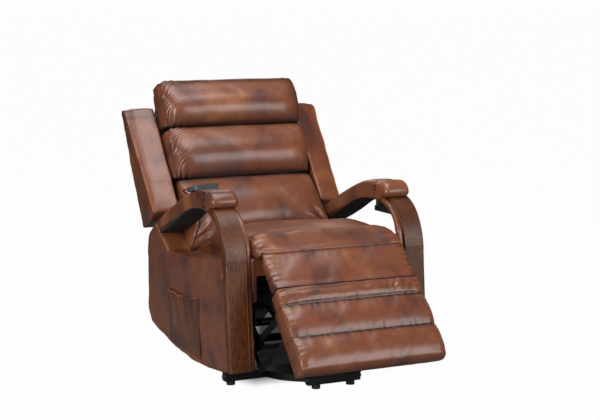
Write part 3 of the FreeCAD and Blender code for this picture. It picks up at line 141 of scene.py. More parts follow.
class Graph:
    """Node tree of one material."""

    def __init__(self, name: str) -> None:
        """Starts an empty material with its surface shader.

        Args:
            name: Name of the material.
        """
        self.material = bpy.data.materials.new(name)
        self.material.use_nodes = True
        self.tree = self.material.node_tree
        self.shader = self.tree.nodes["Principled BSDF"]
        self.place = self.node("ShaderNodeTexCoord").outputs["Object"]

    def node(self, kind: str, settings: dict | None = None, inputs: dict | None = None) -> bpy.types.Node:
        """Adds a node, sets it and then feeds its sockets.

        Args:
            kind: Type name of the node.
            settings: Attributes of the node, or "stops" for a colour ramp.
            inputs: Values or links by socket name or number.

        Returns:
            The new node.
        """
        made = self.tree.nodes.new(kind)
        for name, value in (settings or {}).items():
            if name == "stops":
                self._stops(made.color_ramp, value)
            else:
                setattr(made, name, value)
        for name, value in (inputs or {}).items():
            self.feed(made.inputs[name], value)
        return made

    def feed(self, socket: bpy.types.NodeSocket, value: object) -> None:
        """Links or sets one input.

        Args:
            socket: The input.
            value: A Value, another socket, a colour or a number.
        """
        if isinstance(value, Value):
            value = value.socket
        if isinstance(value, bpy.types.NodeSocket):
            self.tree.links.new(value, socket)
        elif isinstance(value, tuple) and socket.type == "RGBA":
            socket.default_value = (*value, 1.0)
        else:
            socket.default_value = value

    @staticmethod
    def _stops(ramp: bpy.types.ColorRamp, stops: Sequence[tuple[float, Colour]]) -> None:
        """Writes the stops of a colour ramp.

        Args:
            ramp: The ramp.
            stops: Place and colour of each stop.
        """
        while len(ramp.elements) < len(stops):
            ramp.elements.new(1.0)
        for element, (place, colour) in zip(ramp.elements, stops):
            element.position = place
            element.color = (*colour, 1.0)

    def noise(self, scale: float, detail: float, distortion: float, at: object = None) -> Value:
        """Fractal noise.

        Args:
            scale: Cycles to the metre.
            detail: Octaves.
            distortion: How far the noise bends itself.
            at: Vector to read, or the object's own coordinates.

        Returns:
            The noise's factor.
        """
        inputs = {"Vector": at or self.place, "Scale": scale, "Detail": detail, "Distortion": distortion}
        return Value(self, self.node("ShaderNodeTexNoise", None, inputs).outputs[0])

    def cells(self, scale: float) -> Value:
        """Distance to the edges of Voronoi cells, for pores and pebbled grain."""
        settings = {"feature": "DISTANCE_TO_EDGE"}
        inputs = {"Vector": self.place, "Scale": scale}
        return Value(self, self.node("ShaderNodeTexVoronoi", settings, inputs).outputs[0])

    def bands(self, direction: str, scale: float) -> Value:
        """Wave along one direction, for threads."""
        inputs = {"Vector": self.place, "Scale": scale}
        return Value(self, self.node("ShaderNodeTexWave", {"bands_direction": direction}, inputs).outputs[1])

    def ramp(self, value: Value, stops: Sequence[tuple[float, Colour]]) -> bpy.types.NodeSocket:
        """Colour read from a ramp at a value."""
        return self.node("ShaderNodeValToRGB", {"stops": stops}, {0: value}).outputs[0]

    def mix(self, share: object, first: object, second: object, blend: str = "MIX") -> bpy.types.NodeSocket:
        """Mixes two colours.

        Args:
            share: Value or number, 0 for the first colour and 1 for the second.
            first: First colour.
            second: Second colour.
            blend: Blend type.

        Returns:
            The mixed colour.
        """
        settings = {"data_type": "RGBA", "blend_type": blend}
        return self.node("ShaderNodeMix", settings, {0: share, 6: first, 7: second}).outputs[2]

    def stretched(self, scale: Point) -> bpy.types.NodeSocket:
        """Object coordinates scaled by a different number on each axis."""
        return self.node("ShaderNodeMapping", None, {"Vector": self.place, "Scale": scale}).outputs[0]

    def attribute(self, name: str) -> Value:
        """Number stored at the points of the mesh."""
        return Value(self, self.node("ShaderNodeAttribute", {"attribute_name": name}).outputs["Fac"])

    def bump(
        self, height: Value, strength: float, distance: float, below: bpy.types.NodeSocket | None = None
    ) -> bpy.types.NodeSocket:
        """Normal bent by a height.

        Args:
            height: The height.
            strength: How much of it shows.
            distance: Metres for a height of 1.
            below: Normal of a coarser bump under this one.

        Returns:
            The normal.
        """
        inputs = {"Height": height, "Strength": strength, "Distance": distance}
        if below:
            inputs["Normal"] = below
        return self.node("ShaderNodeBump", None, inputs).outputs[0]

    def finish(self, **inputs: object) -> bpy.types.Material:
        """Feeds the surface shader.

        Args:
            **inputs: Shader inputs by name, with underscores for spaces.

        Returns:
            The finished material.
        """
        for name, value in inputs.items():
            self.feed(self.shader.inputs[name.replace("_", " ")], value)
        return self.material


# Finishes


@dataclass(frozen=True)
class Leather:
    """Distressed semi-gloss leather, mottled from purple-brown to orange-tan."""

    name: str = "mottled_leather"
    dark: Colour = (0.092, 0.031, 0.020)
    middle: Colour = (0.165, 0.050, 0.023)
    tan: Colour = (0.250, 0.091, 0.032)
    clouds: float = 6.5
    streaks: float = 20.0
    streak_share: float = 0.30
    streak_shape: Point = (1.0, 0.6, 0.5)
    haze: float = 60.0
    haze_share: float = 0.22
    painted_shade_tone: float = 0.18
    rub_and_highlight_share: float = 0.40
    wrinkles: float = 26.0
    pebbles: float = 520.0
    roughness: float = 0.33
    coat: float = 0.12
    coat_roughness: float = 0.28

    def build(self) -> bpy.types.Material:
        """Makes the material: soft clouds of colour, painted shade and rubbed, painted-highlight ridges read
        from the mesh, fine wrinkles and faint pebbles.
        """
        g = Graph(self.name)
        streaks = g.noise(self.streaks, 2.0, 0.3, g.stretched(self.streak_shape))
        cloud = g.noise(self.clouds, 1.0, 0.5) * (1.0 - self.streak_share) + streaks * self.streak_share
        stops = ((0.35, self.dark), (0.47, self.middle), (0.55, self.middle), (0.68, self.tan))
        colour = g.ramp(cloud, stops)
        haze = g.noise(self.haze, 3.0, 0.5)
        grey = g.ramp(haze, ((0.35, (0.40, 0.40, 0.40)), (0.65, (0.62, 0.62, 0.62))))
        colour = g.mix(self.haze_share, colour, grey, "OVERLAY")
        wear = g.attribute(WEAR_SHADE_HIGHLIGHT)
        # Painted shade: towards a deep brown where the stored value is below 0.
        colour = g.mix((wear * -1.0).clamped(), colour, toned(self.dark, self.painted_shade_tone))
        # Rubbed wear and painted highlight: towards tan where the stored value is above 0.
        colour = g.mix((wear * self.rub_and_highlight_share).clamped(), colour, self.tan)
        normal = g.bump(g.noise(self.wrinkles, 3.0, 0.8), 0.14, 0.0016)
        normal = g.bump(g.cells(self.pebbles) ** 0.6, 0.07, 0.0004, normal)
        rough = (haze - 0.5) * 0.06 + self.roughness
        return g.finish(
            Base_Color=colour,
            Roughness=rough.clamped(0.18, 0.6),
            Normal=normal,
            Coat_Weight=self.coat,
            Coat_Roughness=self.coat_roughness,
        )


@dataclass(frozen=True)
class Timber:
    """Sawn timber whose grain runs along one axis."""

    name: str
    dark: Colour
    light: Colour
    along: Point
    roughness: float
    rings: float = 46.0

    def build(self) -> bpy.types.Material:
        """Makes the material: long figure, growth bands and open pores."""
        g = Graph(self.name)
        figure = g.noise(9.0, 4.0, 0.8, g.stretched(self.along))
        fine = g.noise(60.0, 5.0, 0.3, g.stretched(self.along))
        rings = g.node("ShaderNodeMath", {"operation": "SINE"}, {0: figure * self.rings})
        bands = Value(g, rings.outputs[0]) * 0.5 + 0.5
        share = (bands * 0.45 + fine * 0.75 - 0.1).clamped()
        colour = g.ramp(share, ((0.1, self.dark), (0.85, self.light)))
        shade = g.ramp(g.noise(5.0, 3.0, 0.9), ((0.35, (0.55, 0.42, 0.38)), (0.65, (1.0, 1.0, 1.0))))
        colour = g.mix(0.7, colour, shade, "MULTIPLY")
        normal = g.bump(fine, 0.18, 0.0006)
        rough = share * -0.12 + self.roughness
        return g.finish(Base_Color=colour, Roughness=rough, Normal=normal)


@dataclass(frozen=True)
class Metal:
    """Painted or bare metal with a fine surface texture."""

    name: str
    colour: Colour
    roughness: float
    metallic: float
    texture: float
    brushed: Point = (1.0, 1.0, 1.0)

    def build(self) -> bpy.types.Material:
        """Makes the material: faint clouding, handling marks and texture."""
        g = Graph(self.name)
        cloud = g.noise(14.0, 4.0, 0.4)
        marks = g.noise(160.0, 4.0, 0.2, g.stretched(self.brushed))
        colour = g.mix(cloud, toned(self.colour, 0.75), toned(self.colour, 1.3))
        rough = (cloud - 0.5) * 0.16 + (marks - 0.5) * 0.2 + self.roughness
        return g.finish(
            Base_Color=colour,
            Roughness=rough.clamped(0.08, 0.9),
            Normal=g.bump(marks, 0.2, self.texture),
            Metallic=self.metallic,
        )


@dataclass(frozen=True)
class Moulded:
    """Moulded plastic or rubber with a spark-eroded texture."""

    name: str
    colour: Colour
    roughness: float
    grain: float

    def build(self) -> bpy.types.Material:
        """Makes the material: fine pits and slightly uneven gloss."""
        g = Graph(self.name)
        pits = g.cells(self.grain)
        dust = g.noise(35.0, 4.0, 0.3)
        colour = g.mix(dust, toned(self.colour, 0.82), toned(self.colour, 1.18))
        rough = (dust - 0.5) * 0.2 + self.roughness
        return g.finish(Base_Color=colour, Roughness=rough, Normal=g.bump(pits, 0.25, 0.0003))


@dataclass(frozen=True)
class Woven:
    """Plain woven dust cloth."""

    name: str
    colour: Colour
    threads: float

    def build(self) -> bpy.types.Material:
        """Makes the material: crossed threads with a little lint."""
        g = Graph(self.name)
        weave = g.bands("X", self.threads) * 0.5 + g.bands("Z", self.threads) * 0.5
        lint = g.noise(30.0, 4.0, 0.4)
        colour = g.mix(lint, toned(self.colour, 0.6), toned(self.colour, 1.5))
        return g.finish(Base_Color=colour, Roughness=lint * 0.1 + 0.85, Normal=g.bump(weave, 0.4, 0.0004))


@dataclass(frozen=True)
class Thread:
    """Heavy twisted sewing thread."""

    name: str
    colour: Colour
    twist: float

    def build(self) -> bpy.types.Material:
        """Makes the material: a slanted twist, with painted shade in the grooves between its crests."""
        g = Graph(self.name)
        strand = g.bands("DIAGONAL", self.twist)
        # Painted shade: half as bright in the twist's grooves.
        colour = g.mix(strand, toned(self.colour, 0.5), self.colour)
        return g.finish(Base_Color=colour, Roughness=strand * -0.15 + 0.6, Normal=g.bump(strand, 0.5, 0.0006))


@dataclass(frozen=True)
class Finishes:
    """Every material of the chair, made once."""

    leather: bpy.types.Material
    band: bpy.types.Material
    piping: bpy.types.Material
    cloth: bpy.types.Material
    walnut: bpy.types.Material
    plywood: bpy.types.Material
    steel: bpy.types.Material
    zinc: bpy.types.Material
    rod: bpy.types.Material
    housing: bpy.types.Material
    rubber: bpy.types.Material
    grey: bpy.types.Material
    black: bpy.types.Material
    thread: bpy.types.Material

    @classmethod
    def make(cls) -> "Finishes":
        """Builds all the materials."""
        band = Leather("arm_leather", (0.060, 0.018, 0.010), (0.150, 0.046, 0.020), (0.270, 0.095, 0.032))
        # Lighter leather for the piping: partly rubbed wear, partly a painted highlight of the edges it
        # trims.
        piping = Leather("piping_leather", (0.090, 0.028, 0.018), (0.24, 0.072, 0.036), (0.42, 0.15, 0.06))
        walnut = Timber("dark_walnut", (0.022, 0.005, 0.001), (0.165, 0.043, 0.003), (7.0, 7.0, 0.8), 0.50)
        plywood = Timber("plywood", (0.34, 0.21, 0.11), (0.62, 0.45, 0.28), (8.0, 1.0, 8.0), 0.6)
        return cls(
            leather=Leather().build(),
            band=band.build(),
            piping=piping.build(),
            cloth=Woven("black_dust_cloth", (0.010, 0.009, 0.009), 420.0).build(),
            walnut=walnut.build(),
            plywood=plywood.build(),
            steel=Metal("satin_black_steel", (0.010, 0.010, 0.011), 0.34, 0.15, 0.0004).build(),
            zinc=Metal("zinc_plated_steel", (0.45, 0.45, 0.46), 0.34, 1.0, 0.0002).build(),
            rod=Metal("drawn_aluminium", (0.62, 0.62, 0.64), 0.26, 1.0, 0.0002, (1.0, 0.05, 1.0)).build(),
            housing=Moulded("motor_plastic", (0.014, 0.014, 0.016), 0.5, 900.0).build(),
            rubber=Moulded("black_rubber", (0.013, 0.013, 0.013), 0.7, 700.0).build(),
            grey=Moulded("handset_plastic", (0.050, 0.066, 0.062), 0.40, 1400.0).build(),
            black=Moulded("button_plastic", (0.012, 0.014, 0.015), 0.45, 1400.0).build(),
            thread=Thread("gold_thread", (0.42, 0.24, 0.11), 210.0).build(),
        )


# Mesh work


def activate(piece: bpy.types.Object) -> None:
    """Deselects everything, then selects one piece and makes it the active one."""
    bpy.ops.object.select_all(action="DESELECT")
    piece.select_set(True)
    bpy.context.view_layer.objects.active = piece


def modify(piece: bpy.types.Object, kind: str, **settings: object) -> None:
    """Adds a modifier and applies it.

    Args:
        piece: The piece.
        kind: Type of the modifier.
        **settings: Its attributes.
    """
    activate(piece)
    made = piece.modifiers.new(kind.title(), kind)
    for name, value in settings.items():
        setattr(made, name, value)
    bpy.ops.object.modifier_apply(modifier=made.name)


def subdivide(piece: bpy.types.Object) -> None:
    """Splits each face in four and rounds the mesh."""
    modify(piece, "SUBSURF", levels=1, render_levels=1)


def rod(name: str, path: Sequence[Point], radius: float, sides: int, steps: int) -> bpy.types.Object:
    """Bends a round rod along a smooth path, as a curve.

    Args:
        name: Name of the piece.
        path: Points of the path.
        radius: Half its thickness.
        sides: How finely it is rounded.
        steps: Cuts between two points of the path.

    Returns:
        The curve's object.
    """
    curve = bpy.data.curves.new(name, "CURVE")
    curve.dimensions = "3D"
    curve.bevel_depth = radius
    curve.bevel_resolution = sides
    curve.use_fill_caps = True
    spline = curve.splines.new("NURBS")
    spline.points.add(len(path) - 1)
    for point, corner in zip(spline.points, path):
        point.co = (*corner, 1.0)
    spline.order_u = 3
    spline.use_endpoint_u = True
    spline.resolution_u = steps
    piece = bpy.data.objects.new(name, curve)
    bpy.context.scene.collection.objects.link(piece)
    return piece


def copy_of(node: str, name: str) -> bpy.types.Object:
    """Copies a CAD node's mesh into a closed mesh of a new piece.

    Args:
        node: The CAD node.
        name: Name of the new piece.

    Returns:
        The new piece, at the origin.
    """
    piece = bpy.data.objects.new(name, frame["nodes"][node].data.copy())
    bpy.context.scene.collection.objects.link(piece)
    activate(piece)
    bpy.ops.object.mode_set(mode="EDIT")
    bpy.ops.mesh.select_all(action="SELECT")
    bpy.ops.mesh.remove_doubles(threshold=WELD)
    bpy.ops.mesh.normals_make_consistent(inside=False)
    bpy.ops.object.mode_set(mode="OBJECT")
    piece.data.materials.clear()
    return piece


def points_of(piece: bpy.types.Object) -> np.ndarray:
    """Places of the piece's points, one row each."""
    places = np.empty(len(piece.data.vertices) * 3)
    piece.data.vertices.foreach_get("co", places)
    return places.reshape(-1, 3)


def normals_of(piece: bpy.types.Object) -> np.ndarray:
    """Outward directions at the piece's points, one row each."""
    directions = np.empty(len(piece.data.vertices) * 3)
    piece.data.vertices.foreach_get("normal", directions)
    return directions.reshape(-1, 3)


def place(piece: bpy.types.Object, places: np.ndarray) -> None:
    """Moves the piece's points."""
    piece.data.vertices.foreach_set("co", places.ravel())
    piece.data.update()


def raise_by(piece: bpy.types.Object, height: Field) -> None:
    """Moves each point along its normal.

    Args:
        piece: The piece.
        height: Metres to move, for points given one to a row.
    """
    places = points_of(piece)
    place(piece, places + normals_of(piece) * height(places)[:, None])


def step(value: np.ndarray, low: float, high: float) -> np.ndarray:
    """Smooth rise from 0 at low to 1 at high, or a fall where low is above high."""
    t = np.clip((value - low) / (high - low), 0.0, 1.0)
    return t * t * (3.0 - 2.0 * t)


def ridge(distance: np.ndarray, width: float) -> np.ndarray:
    """Rounded bump of height 1 about distance 0."""
    return np.exp(-((distance / width) ** 2))


def folds(along: np.ndarray, away: np.ndarray, pitch: float, seed: float) -> np.ndarray:
    """Uneven gathers of cloth beside a seam.

    Args:
        along: Metres along the seam.
        away: Metres from the seam.
        pitch: Usual distance between two folds.
        seed: Starts a different pattern.

    Returns:
        Heights from about -1 to 1.
    """
    drift = 0.55 * np.sin(along / pitch * 1.7 + seed)
    drift += 0.35 * np.sin(along / pitch * 4.3 + 2.1 * seed + away * 40.0)
    first = np.sin(2.0 * math.pi * along / pitch + drift * 2.2 + away * 18.0)
    second = np.sin(2.0 * math.pi * along / pitch * 0.53 + seed * 3.0 - away * 25.0)
    return 0.7 * np.sign(first) * np.abs(first) ** 0.7 + 0.3 * second


def puffs(along: np.ndarray, away: np.ndarray, pitch: float, seed: np.ndarray, slant: float) -> np.ndarray:
    """Rounded pleats with sharp valleys between them, uneven in width and height.

    Args:
        along: Metres along the seam.
        away: Metres from the seam.
        pitch: Usual width of a pleat.
        seed: Starts a different pattern, for each point.
        slant: Pleats passed for each metre away from the seam.

    Returns:
        Heights from about -0.6 to 0.6.
    """
    place_on = along / pitch + 0.45 * np.sin(along / pitch * 1.3 + seed) + away * slant
    size = 0.65 + 0.35 * np.sin(along / pitch * 1.9 + 2.3 * seed)
    return (np.abs(np.sin(math.pi * place_on)) ** 0.75 - 0.6) * size


def distance_to_path(places: np.ndarray, path: Sequence[Point]) -> np.ndarray:
    """Distance of points, one to a row, from a line of straight runs."""
    best = np.full(len(places), np.inf)
    for start, end in zip(np.array(path[:-1]), np.array(path[1:])):
        run = end - start
        share = np.clip((places - start) @ run / np.linalg.norm(run) ** 2, 0.0, 1.0)
        best = np.minimum(best, np.linalg.norm(places - (start + share[:, None] * run), axis=1))
    return best


def evened(piece: bpy.types.Object, moves: np.ndarray, passes: int) -> np.ndarray:
    """Averages each point's move with its neighbours', so that broad swelling stays and crumples go.

    Args:
        piece: The piece.
        moves: Moves of its points, one to a row.
        passes: How often the moves are averaged.

    Returns:
        The evened moves.
    """
    ends = np.zeros(len(piece.data.edges) * 2, dtype=np.int32)
    piece.data.edges.foreach_get("vertices", ends)
    ends = ends.reshape(-1, 2)
    count = len(moves)
    shared = np.bincount(ends.ravel(), minlength=count)[:, None] + 1.0
    for _ in range(passes):
        total = moves.copy()
        for axis in range(3):
            total[:, axis] += np.bincount(ends[:, 0], moves[ends[:, 1], axis], count)
            total[:, axis] += np.bincount(ends[:, 1], moves[ends[:, 0], axis], count)
        moves = total / shared
    return moves


@dataclass(frozen=True)
class Stuffing:
    """How hard a cushion is blown up in the cloth simulation.

    Attributes:
        cap: Longest move of a point, in metres.
        slack: Share by which the cloth is wider than the solid.
        pressure: Pressure inside.
        frames: Length of the simulation.
        quality: Steps in a frame.
        mass: Weight of the cloth.
        bending: Its stiffness against folding.
        calm: How often the moves are evened out with their neighbours.
    """

    cap: float
    slack: float = 0.0
    pressure: float = 4.0
    frames: int = 20
    quality: int = 4
    mass: float = 0.35
    bending: float = 2.0
    calm: int = 24

    def inflate(self, piece: bpy.types.Object, held: Field) -> None:
        """Blows the piece up and keeps the result in its mesh.

        Args:
            piece: The closed piece.
            held: How firmly each point is held, from 0 to 1.
        """
        before = points_of(piece)
        group = piece.vertex_groups.new(name="held")
        for index, weight in enumerate(np.clip(held(before), 0.0, 1.0)):
            group.add([index], float(weight), "REPLACE")
        activate(piece)
        cloth = piece.modifiers.new("Stuffing", "CLOTH")
        cloth.settings.quality = self.quality
        cloth.settings.mass = self.mass
        cloth.settings.bending_stiffness = self.bending
        cloth.settings.vertex_group_mass = group.name
        cloth.settings.shrink_min = -self.slack
        cloth.settings.use_pressure = True
        cloth.settings.uniform_pressure_force = self.pressure
        cloth.settings.effector_weights.gravity = 0.0
        cloth.collision_settings.use_collision = False
        cloth.point_cache.frame_start = 1
        cloth.point_cache.frame_end = self.frames
        scene = bpy.context.scene
        for number in range(1, self.frames + 1):
            scene.frame_set(number)
        bpy.ops.object.modifier_apply(modifier=cloth.name)
        scene.frame_set(1)
        moved = points_of(piece) - before
        length = np.linalg.norm(moved, axis=1)
        share = np.minimum(1.0, self.cap / np.maximum(length, 1e-9))
        place(piece, before + evened(piece, moved * share[:, None], self.calm))
        piece.vertex_groups.clear()


class Dresser:
    """Turns CAD solids into finished pieces."""

    def __init__(self, finishes: Finishes) -> None:
        """Keeps the finishes and the body of each node."""
        self.finishes = finishes
        bodies = frame["record"]["behaviour"]["bodies"]
        self.body = {node: body for body, nodes in bodies.items() for node in nodes}

    def soft(self, node: str, voxel: float, rounding: int) -> bpy.types.Object:
        """Copies a soft solid, evens its mesh out and rounds its edges.

        Args:
            node: The CAD node.
            voxel: Size of the new mesh's faces.
            rounding: Number of smoothing passes.

        Returns:
            The new piece.
        """
        piece = copy_of(node, node + "_cover")
        modify(piece, "REMESH", mode="VOXEL", voxel_size=voxel)
        modify(piece, "SMOOTH", factor=0.5, iterations=rounding)
        return piece

    def finish(
        self,
        piece: bpy.types.Object,
        material: bpy.types.Material,
        slot: Slot,
        node: str,
        fill: float,
    ) -> None:
        """Gives a padded piece its finish and its place in the frame.

        Args:
            piece: The piece.
            material: Its material.
            slot: The record's slot; not used.
            node: The CAD node it stands for.
            fill: How full it is, from 0 to 1; not used.
        """
        activate(piece)
        bpy.ops.object.shade_smooth()
        piece.data.materials.clear()
        piece.data.materials.append(material)
        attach(piece, self.body[node])
        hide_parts(node)
        log.info("%s: %d faces on %s", piece.name, len(piece.data.polygons), self.body[node])

    def upholster(self, piece: bpy.types.Object, node: str, fill: float) -> None:
        """Covers a padded piece in the chair's leather."""
        self.finish(piece, self.finishes.leather, Slot.LEATHER, node, fill)

    def line(
        self, name: str, path: Sequence[Point], radius: float, material: bpy.types.Material, body: str
    ) -> bpy.types.Object:
        """Lays a round piping or thread along a smooth path.

        Args:
            name: Name of the piece.
            path: Points of the path.
            radius: Half its thickness.
            material: Its material.
            body: The body it rides on.

        Returns:
            The piece.
        """
        activate(rod(name, path, radius, LINE_SIDES, LINE_STEPS))
        bpy.ops.object.convert(target="MESH")
        piece = bpy.context.object
        bpy.ops.object.shade_smooth()
        piece.data.materials.append(material)
        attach(piece, body)
        log.info("%s: %d points on %s", name, len(path), body)
        return piece


def on_surface(piece: bpy.types.Object, path: Sequence[Point], lift: float) -> list[Point]:
    """Drops a path onto a piece.

    Args:
        piece: The piece.
        path: Points near its surface.
        lift: Metres to stand proud of it.

    Returns:
        The points on the surface.
    """
    tree = BVHTree.FromObject(piece, bpy.context.evaluated_depsgraph_get())
    laid = []
    for point in path:
        where, normal, _, _ = tree.find_nearest(Vector(point))
        laid.append(tuple(where + normal * lift))
    return laid


def along_line(start: Point, end: Point, count: int) -> list[Point]:
    """Evenly spaced points from start to end."""
    return [tuple(p) for p in np.linspace(np.array(start), np.array(end), count)]


def at_x(x: float, outline: Sequence[tuple[float, float]]) -> list[Point]:
    """Side-view points, in the side view's own zero, as points of the frame at a given x."""
    return [(x, y + DEPTH_SHIFT, z) for y, z in outline]


def wear(piece: bpy.types.Object, amount: Field) -> None:
    """Stores at each point the leather's painted shade (below 0) and its rubbed wear with painted highlight
    (above 0).
    """
    values = amount(points_of(piece))
    made = piece.data.attributes.new(WEAR_SHADE_HIGHLIGHT, "FLOAT", "POINT")
    made.data.foreach_set("value", values.astype(np.float32))


def paint(piece: bpy.types.Object, material: bpy.types.Material, chosen: Field) -> None:
    """Gives some faces of a piece one more material.

    Args:
        piece: The piece.
        material: The added material.
        chosen: Above 0.5 for the faces that take it, from their centres and directions in six columns.
    """
    count = len(piece.data.polygons)
    centres = np.empty(count * 3)
    directions = np.empty(count * 3)
    piece.data.polygons.foreach_get("center", centres)
    piece.data.polygons.foreach_get("normal", directions)
    picked = chosen(np.column_stack([centres.reshape(-1, 3), directions.reshape(-1, 3)])) > 0.5
    earlier = np.zeros(count, dtype=np.int32)
    piece.data.polygons.foreach_get("material_index", earlier)
    piece.data.materials.append(material)
    added = len(piece.data.materials) - 1
    piece.data.polygons.foreach_set("material_index", np.where(picked, added, earlier).astype(np.int32))
    piece.data.update()


# Sub-assemblies


@dataclass
class BackRest:
    """Two shirred rolls over a plain lumbar cushion, two wings, and the outside back.

    Places on it are x across, s up the back from its origin, and n out of its front.
    """

    origin: tuple[float, float] = (0.304, 0.430)
    up: tuple[float, float] = (0.4147, 0.9100)
    rear: float = -0.060
    lumbar_top: float = 0.237
    roll_split: float = 0.441
    top: float = 0.622
    roll_half: float = 0.284
    lumbar_half: float = 0.276
    wing_outer: float = 0.402
    wing_inner: float = 0.292
    wing_top: float = 0.888
    wing_span: tuple[float, float] = (0.116, 0.540)
    wing_base: float = 0.113
    wing_length: float = 0.48
    wing_flare: float = 0.017
    wing_face: float = 0.006
    wing_slope: float = 0.2093
    cover_seam: float = 0.262
    roll_cap: float = 0.020
    roll_seam: float = 0.062
    pleat_pitch: float = 0.021
    pleat_slant: float = 34.0
    pleat_height: float = 0.0075
    belly_height: float = 0.0065
    brow_depth: float = 0.004
    welt_depth: float = 0.0026
    end_round: float = 0.058
    crest_lift: float = 0.008
    lumbar_cap: float = 0.018
    corner_drop: float = 0.050
    corner_forward: float = 0.026
    corner_outward: float = 0.014
    bottom_tuck: float = 0.034
    corner_tip: tuple[float, float] = (0.280, -0.018)
    corner_height: float = 0.0085
    corner_ridges: tuple[tuple[float, float, float], ...] = (
        (0.66, 0.9, 0.0055), (0.90, -0.8, 0.007), (1.16, 1.0, 0.0055), (0.30, -0.4, 0.009),
    )

    def local(self, places: np.ndarray) -> tuple[np.ndarray, np.ndarray, np.ndarray]:
        """Splits places into distance across, up the back and out of its front."""
        y = places[:, 1] - DEPTH_SHIFT - self.origin[0]
        z = places[:, 2] - self.origin[1]
        return places[:, 0], y * self.up[0] + z * self.up[1], z * self.up[0] - y * self.up[1]

    def spot(self, x: float, s: float, n: float) -> Point:
        """Point of the frame for a place in the back's own directions."""
        y = self.origin[0] + s * self.up[0] - n * self.up[1]
        return (x, y + DEPTH_SHIFT, self.origin[1] + s * self.up[1] + n * self.up[0])

    def build(self, dresser: Dresser) -> None:
        """Makes the pieces of the back."""
        for node, low, high, seed in (
            ("head_cushion", self.roll_split, self.top, 1.0),
            ("middle_cushion", self.lumbar_top, self.roll_split, 2.7),
        ):
            self.roll(dresser, node, low, high, seed)
        self.lumbar(dresser)
        for side, name in ((-1, "wing_right"), (1, "wing_left")):
            self.wing(dresser, name, side)
        self.board(dresser)
        self.cover(dresser)

    def roll(self, dresser: Dresser, node: str, low: float, high: float, seed: float) -> None:
        """Makes one stuffed roll, fullest below its middle, with pleats beside its end seams.

        Args:
            dresser: Makes and finishes the piece.
            node: CAD node of the roll.
            low: Where it starts up the back.
            high: Where it ends.
            seed: Starts its own pattern of pleats.
        """
        piece = dresser.soft(node, voxel=0.0055, rounding=3)

        def held(places: np.ndarray) -> np.ndarray:
            """Rear and the seams above and below."""
            _, s, n = self.local(places)
            edge = ridge(s - low, 0.012) + ridge(s - high, 0.012)
            return np.maximum(step(n, self.rear + 0.03, self.rear + 0.01), np.minimum(edge, 1.0))

        Stuffing(self.roll_cap).inflate(piece, held)
        subdivide(piece)
        middle = (low + high) / 2
        length = high - low
        self.round_ends(piece, middle)

        def inward_of(places: np.ndarray) -> np.ndarray:
            """Distance inwards from the end seam, which runs round the roll's front edge."""
            x, _, n = self.local(places)
            return (self.roll_half - 0.004 - np.abs(x)) + (n - self.rear - self.roll_seam)

        def pleats(places: np.ndarray) -> np.ndarray:
            """Pleats that lean away from the end seam and fade towards the roll's middle."""
            x, s, n = self.local(places)
            inward = inward_of(places)
            reach = step(inward, 0.002, 0.018) * np.exp(-((np.maximum(inward - 0.03, 0.0) / 0.040) ** 1.6))
            strength = np.where(x < 0, 1.0, 0.5) * reach * step(n, self.rear + 0.02, self.rear + 0.05)
            pleated = puffs(s - middle, -inward, self.pleat_pitch, seed + np.sign(x), self.pleat_slant)
            return pleated * strength

        def shape(places: np.ndarray) -> np.ndarray:
            """Pleats, full belly below the middle, hollow brow above it and the sunk end seam."""
            x, s, n = self.local(places)
            front = step(n, self.rear + 0.02, self.rear + 0.05)
            belly = self.belly_height * ridge(s - low - 0.36 * length, 0.34 * length)
            belly -= self.brow_depth * ridge(s - high + 0.22 * length, 0.2 * length)
            belly *= step(np.abs(x), self.roll_half, self.roll_half - 0.09)
            welt = ridge(inward_of(places), 0.0035) * self.welt_depth
            wave = 0.0007 * folds(x, s, 0.21, seed)
            return pleats(places) * self.pleat_height + (belly - welt + wave) * front

        raise_by(piece, shape)

        def shade_and_rub(places: np.ndarray) -> np.ndarray:
            """Rubbed wear and painted highlight on the pleats' crests; painted shade in their valleys, in the
            seams above and below, and across the roll's lower part.
            """
            _, s, _ = self.local(places)
            crease = np.minimum(np.abs(s - low), np.abs(s - high))
            return pleats(places) * 1.3 - ridge(crease, 0.012) * 0.7 - ridge(s - low, 0.036) * 0.4

        wear(piece, shade_and_rub)
        dresser.upholster(piece, node, 0.85)

    def round_ends(self, piece: bpy.types.Object, middle: float) -> None:
        """Rounds a roll's two ends back, as stuffing does in a sewn end, and lifts the top one's crest.

        Args:
            piece: The roll.
            middle: Half-way up it.
        """
        places = points_of(piece)
        x, s, n = self.local(places)
        end = np.clip((np.abs(x) - (self.roll_half - self.end_round)) / self.end_round, 0.0, 1.0)
        fall = 1.0 - np.sqrt(1.0 - end**2 * 0.98)
        lower = step(s, middle + 0.02, middle - 0.09)
        back = (n - self.rear) * np.where(x < 0, 0.40 + 0.22 * lower, 0.16 + 0.12 * lower) * fall
        closer = (s - middle) * np.where(x < 0, 0.10, 0.05) * fall
        lift = self.crest_lift * step(s, self.top - 0.07, self.top - 0.01)
        up = lift - closer
        places[:, 1] += up * self.up[0] + back * self.up[1]
        places[:, 2] += up * self.up[1] - back * self.up[0]
        place(piece, places)

    def lumbar(self, dresser: Dresser) -> None:
        """Makes the plain lumbar cushion, whose lower corners hang over the seat and gather to a point."""
        piece = dresser.soft("lumbar_cushion", voxel=0.0055, rounding=3)

        def held(places: np.ndarray) -> np.ndarray:
            """Rear, top seam and bottom edge."""
            _, s, n = self.local(places)
            edge = np.minimum(ridge(s - self.lumbar_top, 0.012) + ridge(s, 0.02), 1.0)
            return np.maximum(step(n, self.rear + 0.03, self.rear + 0.01), edge)

        Stuffing(self.lumbar_cap).inflate(piece, held)
        subdivide(piece)
        self.hang_corners(piece)

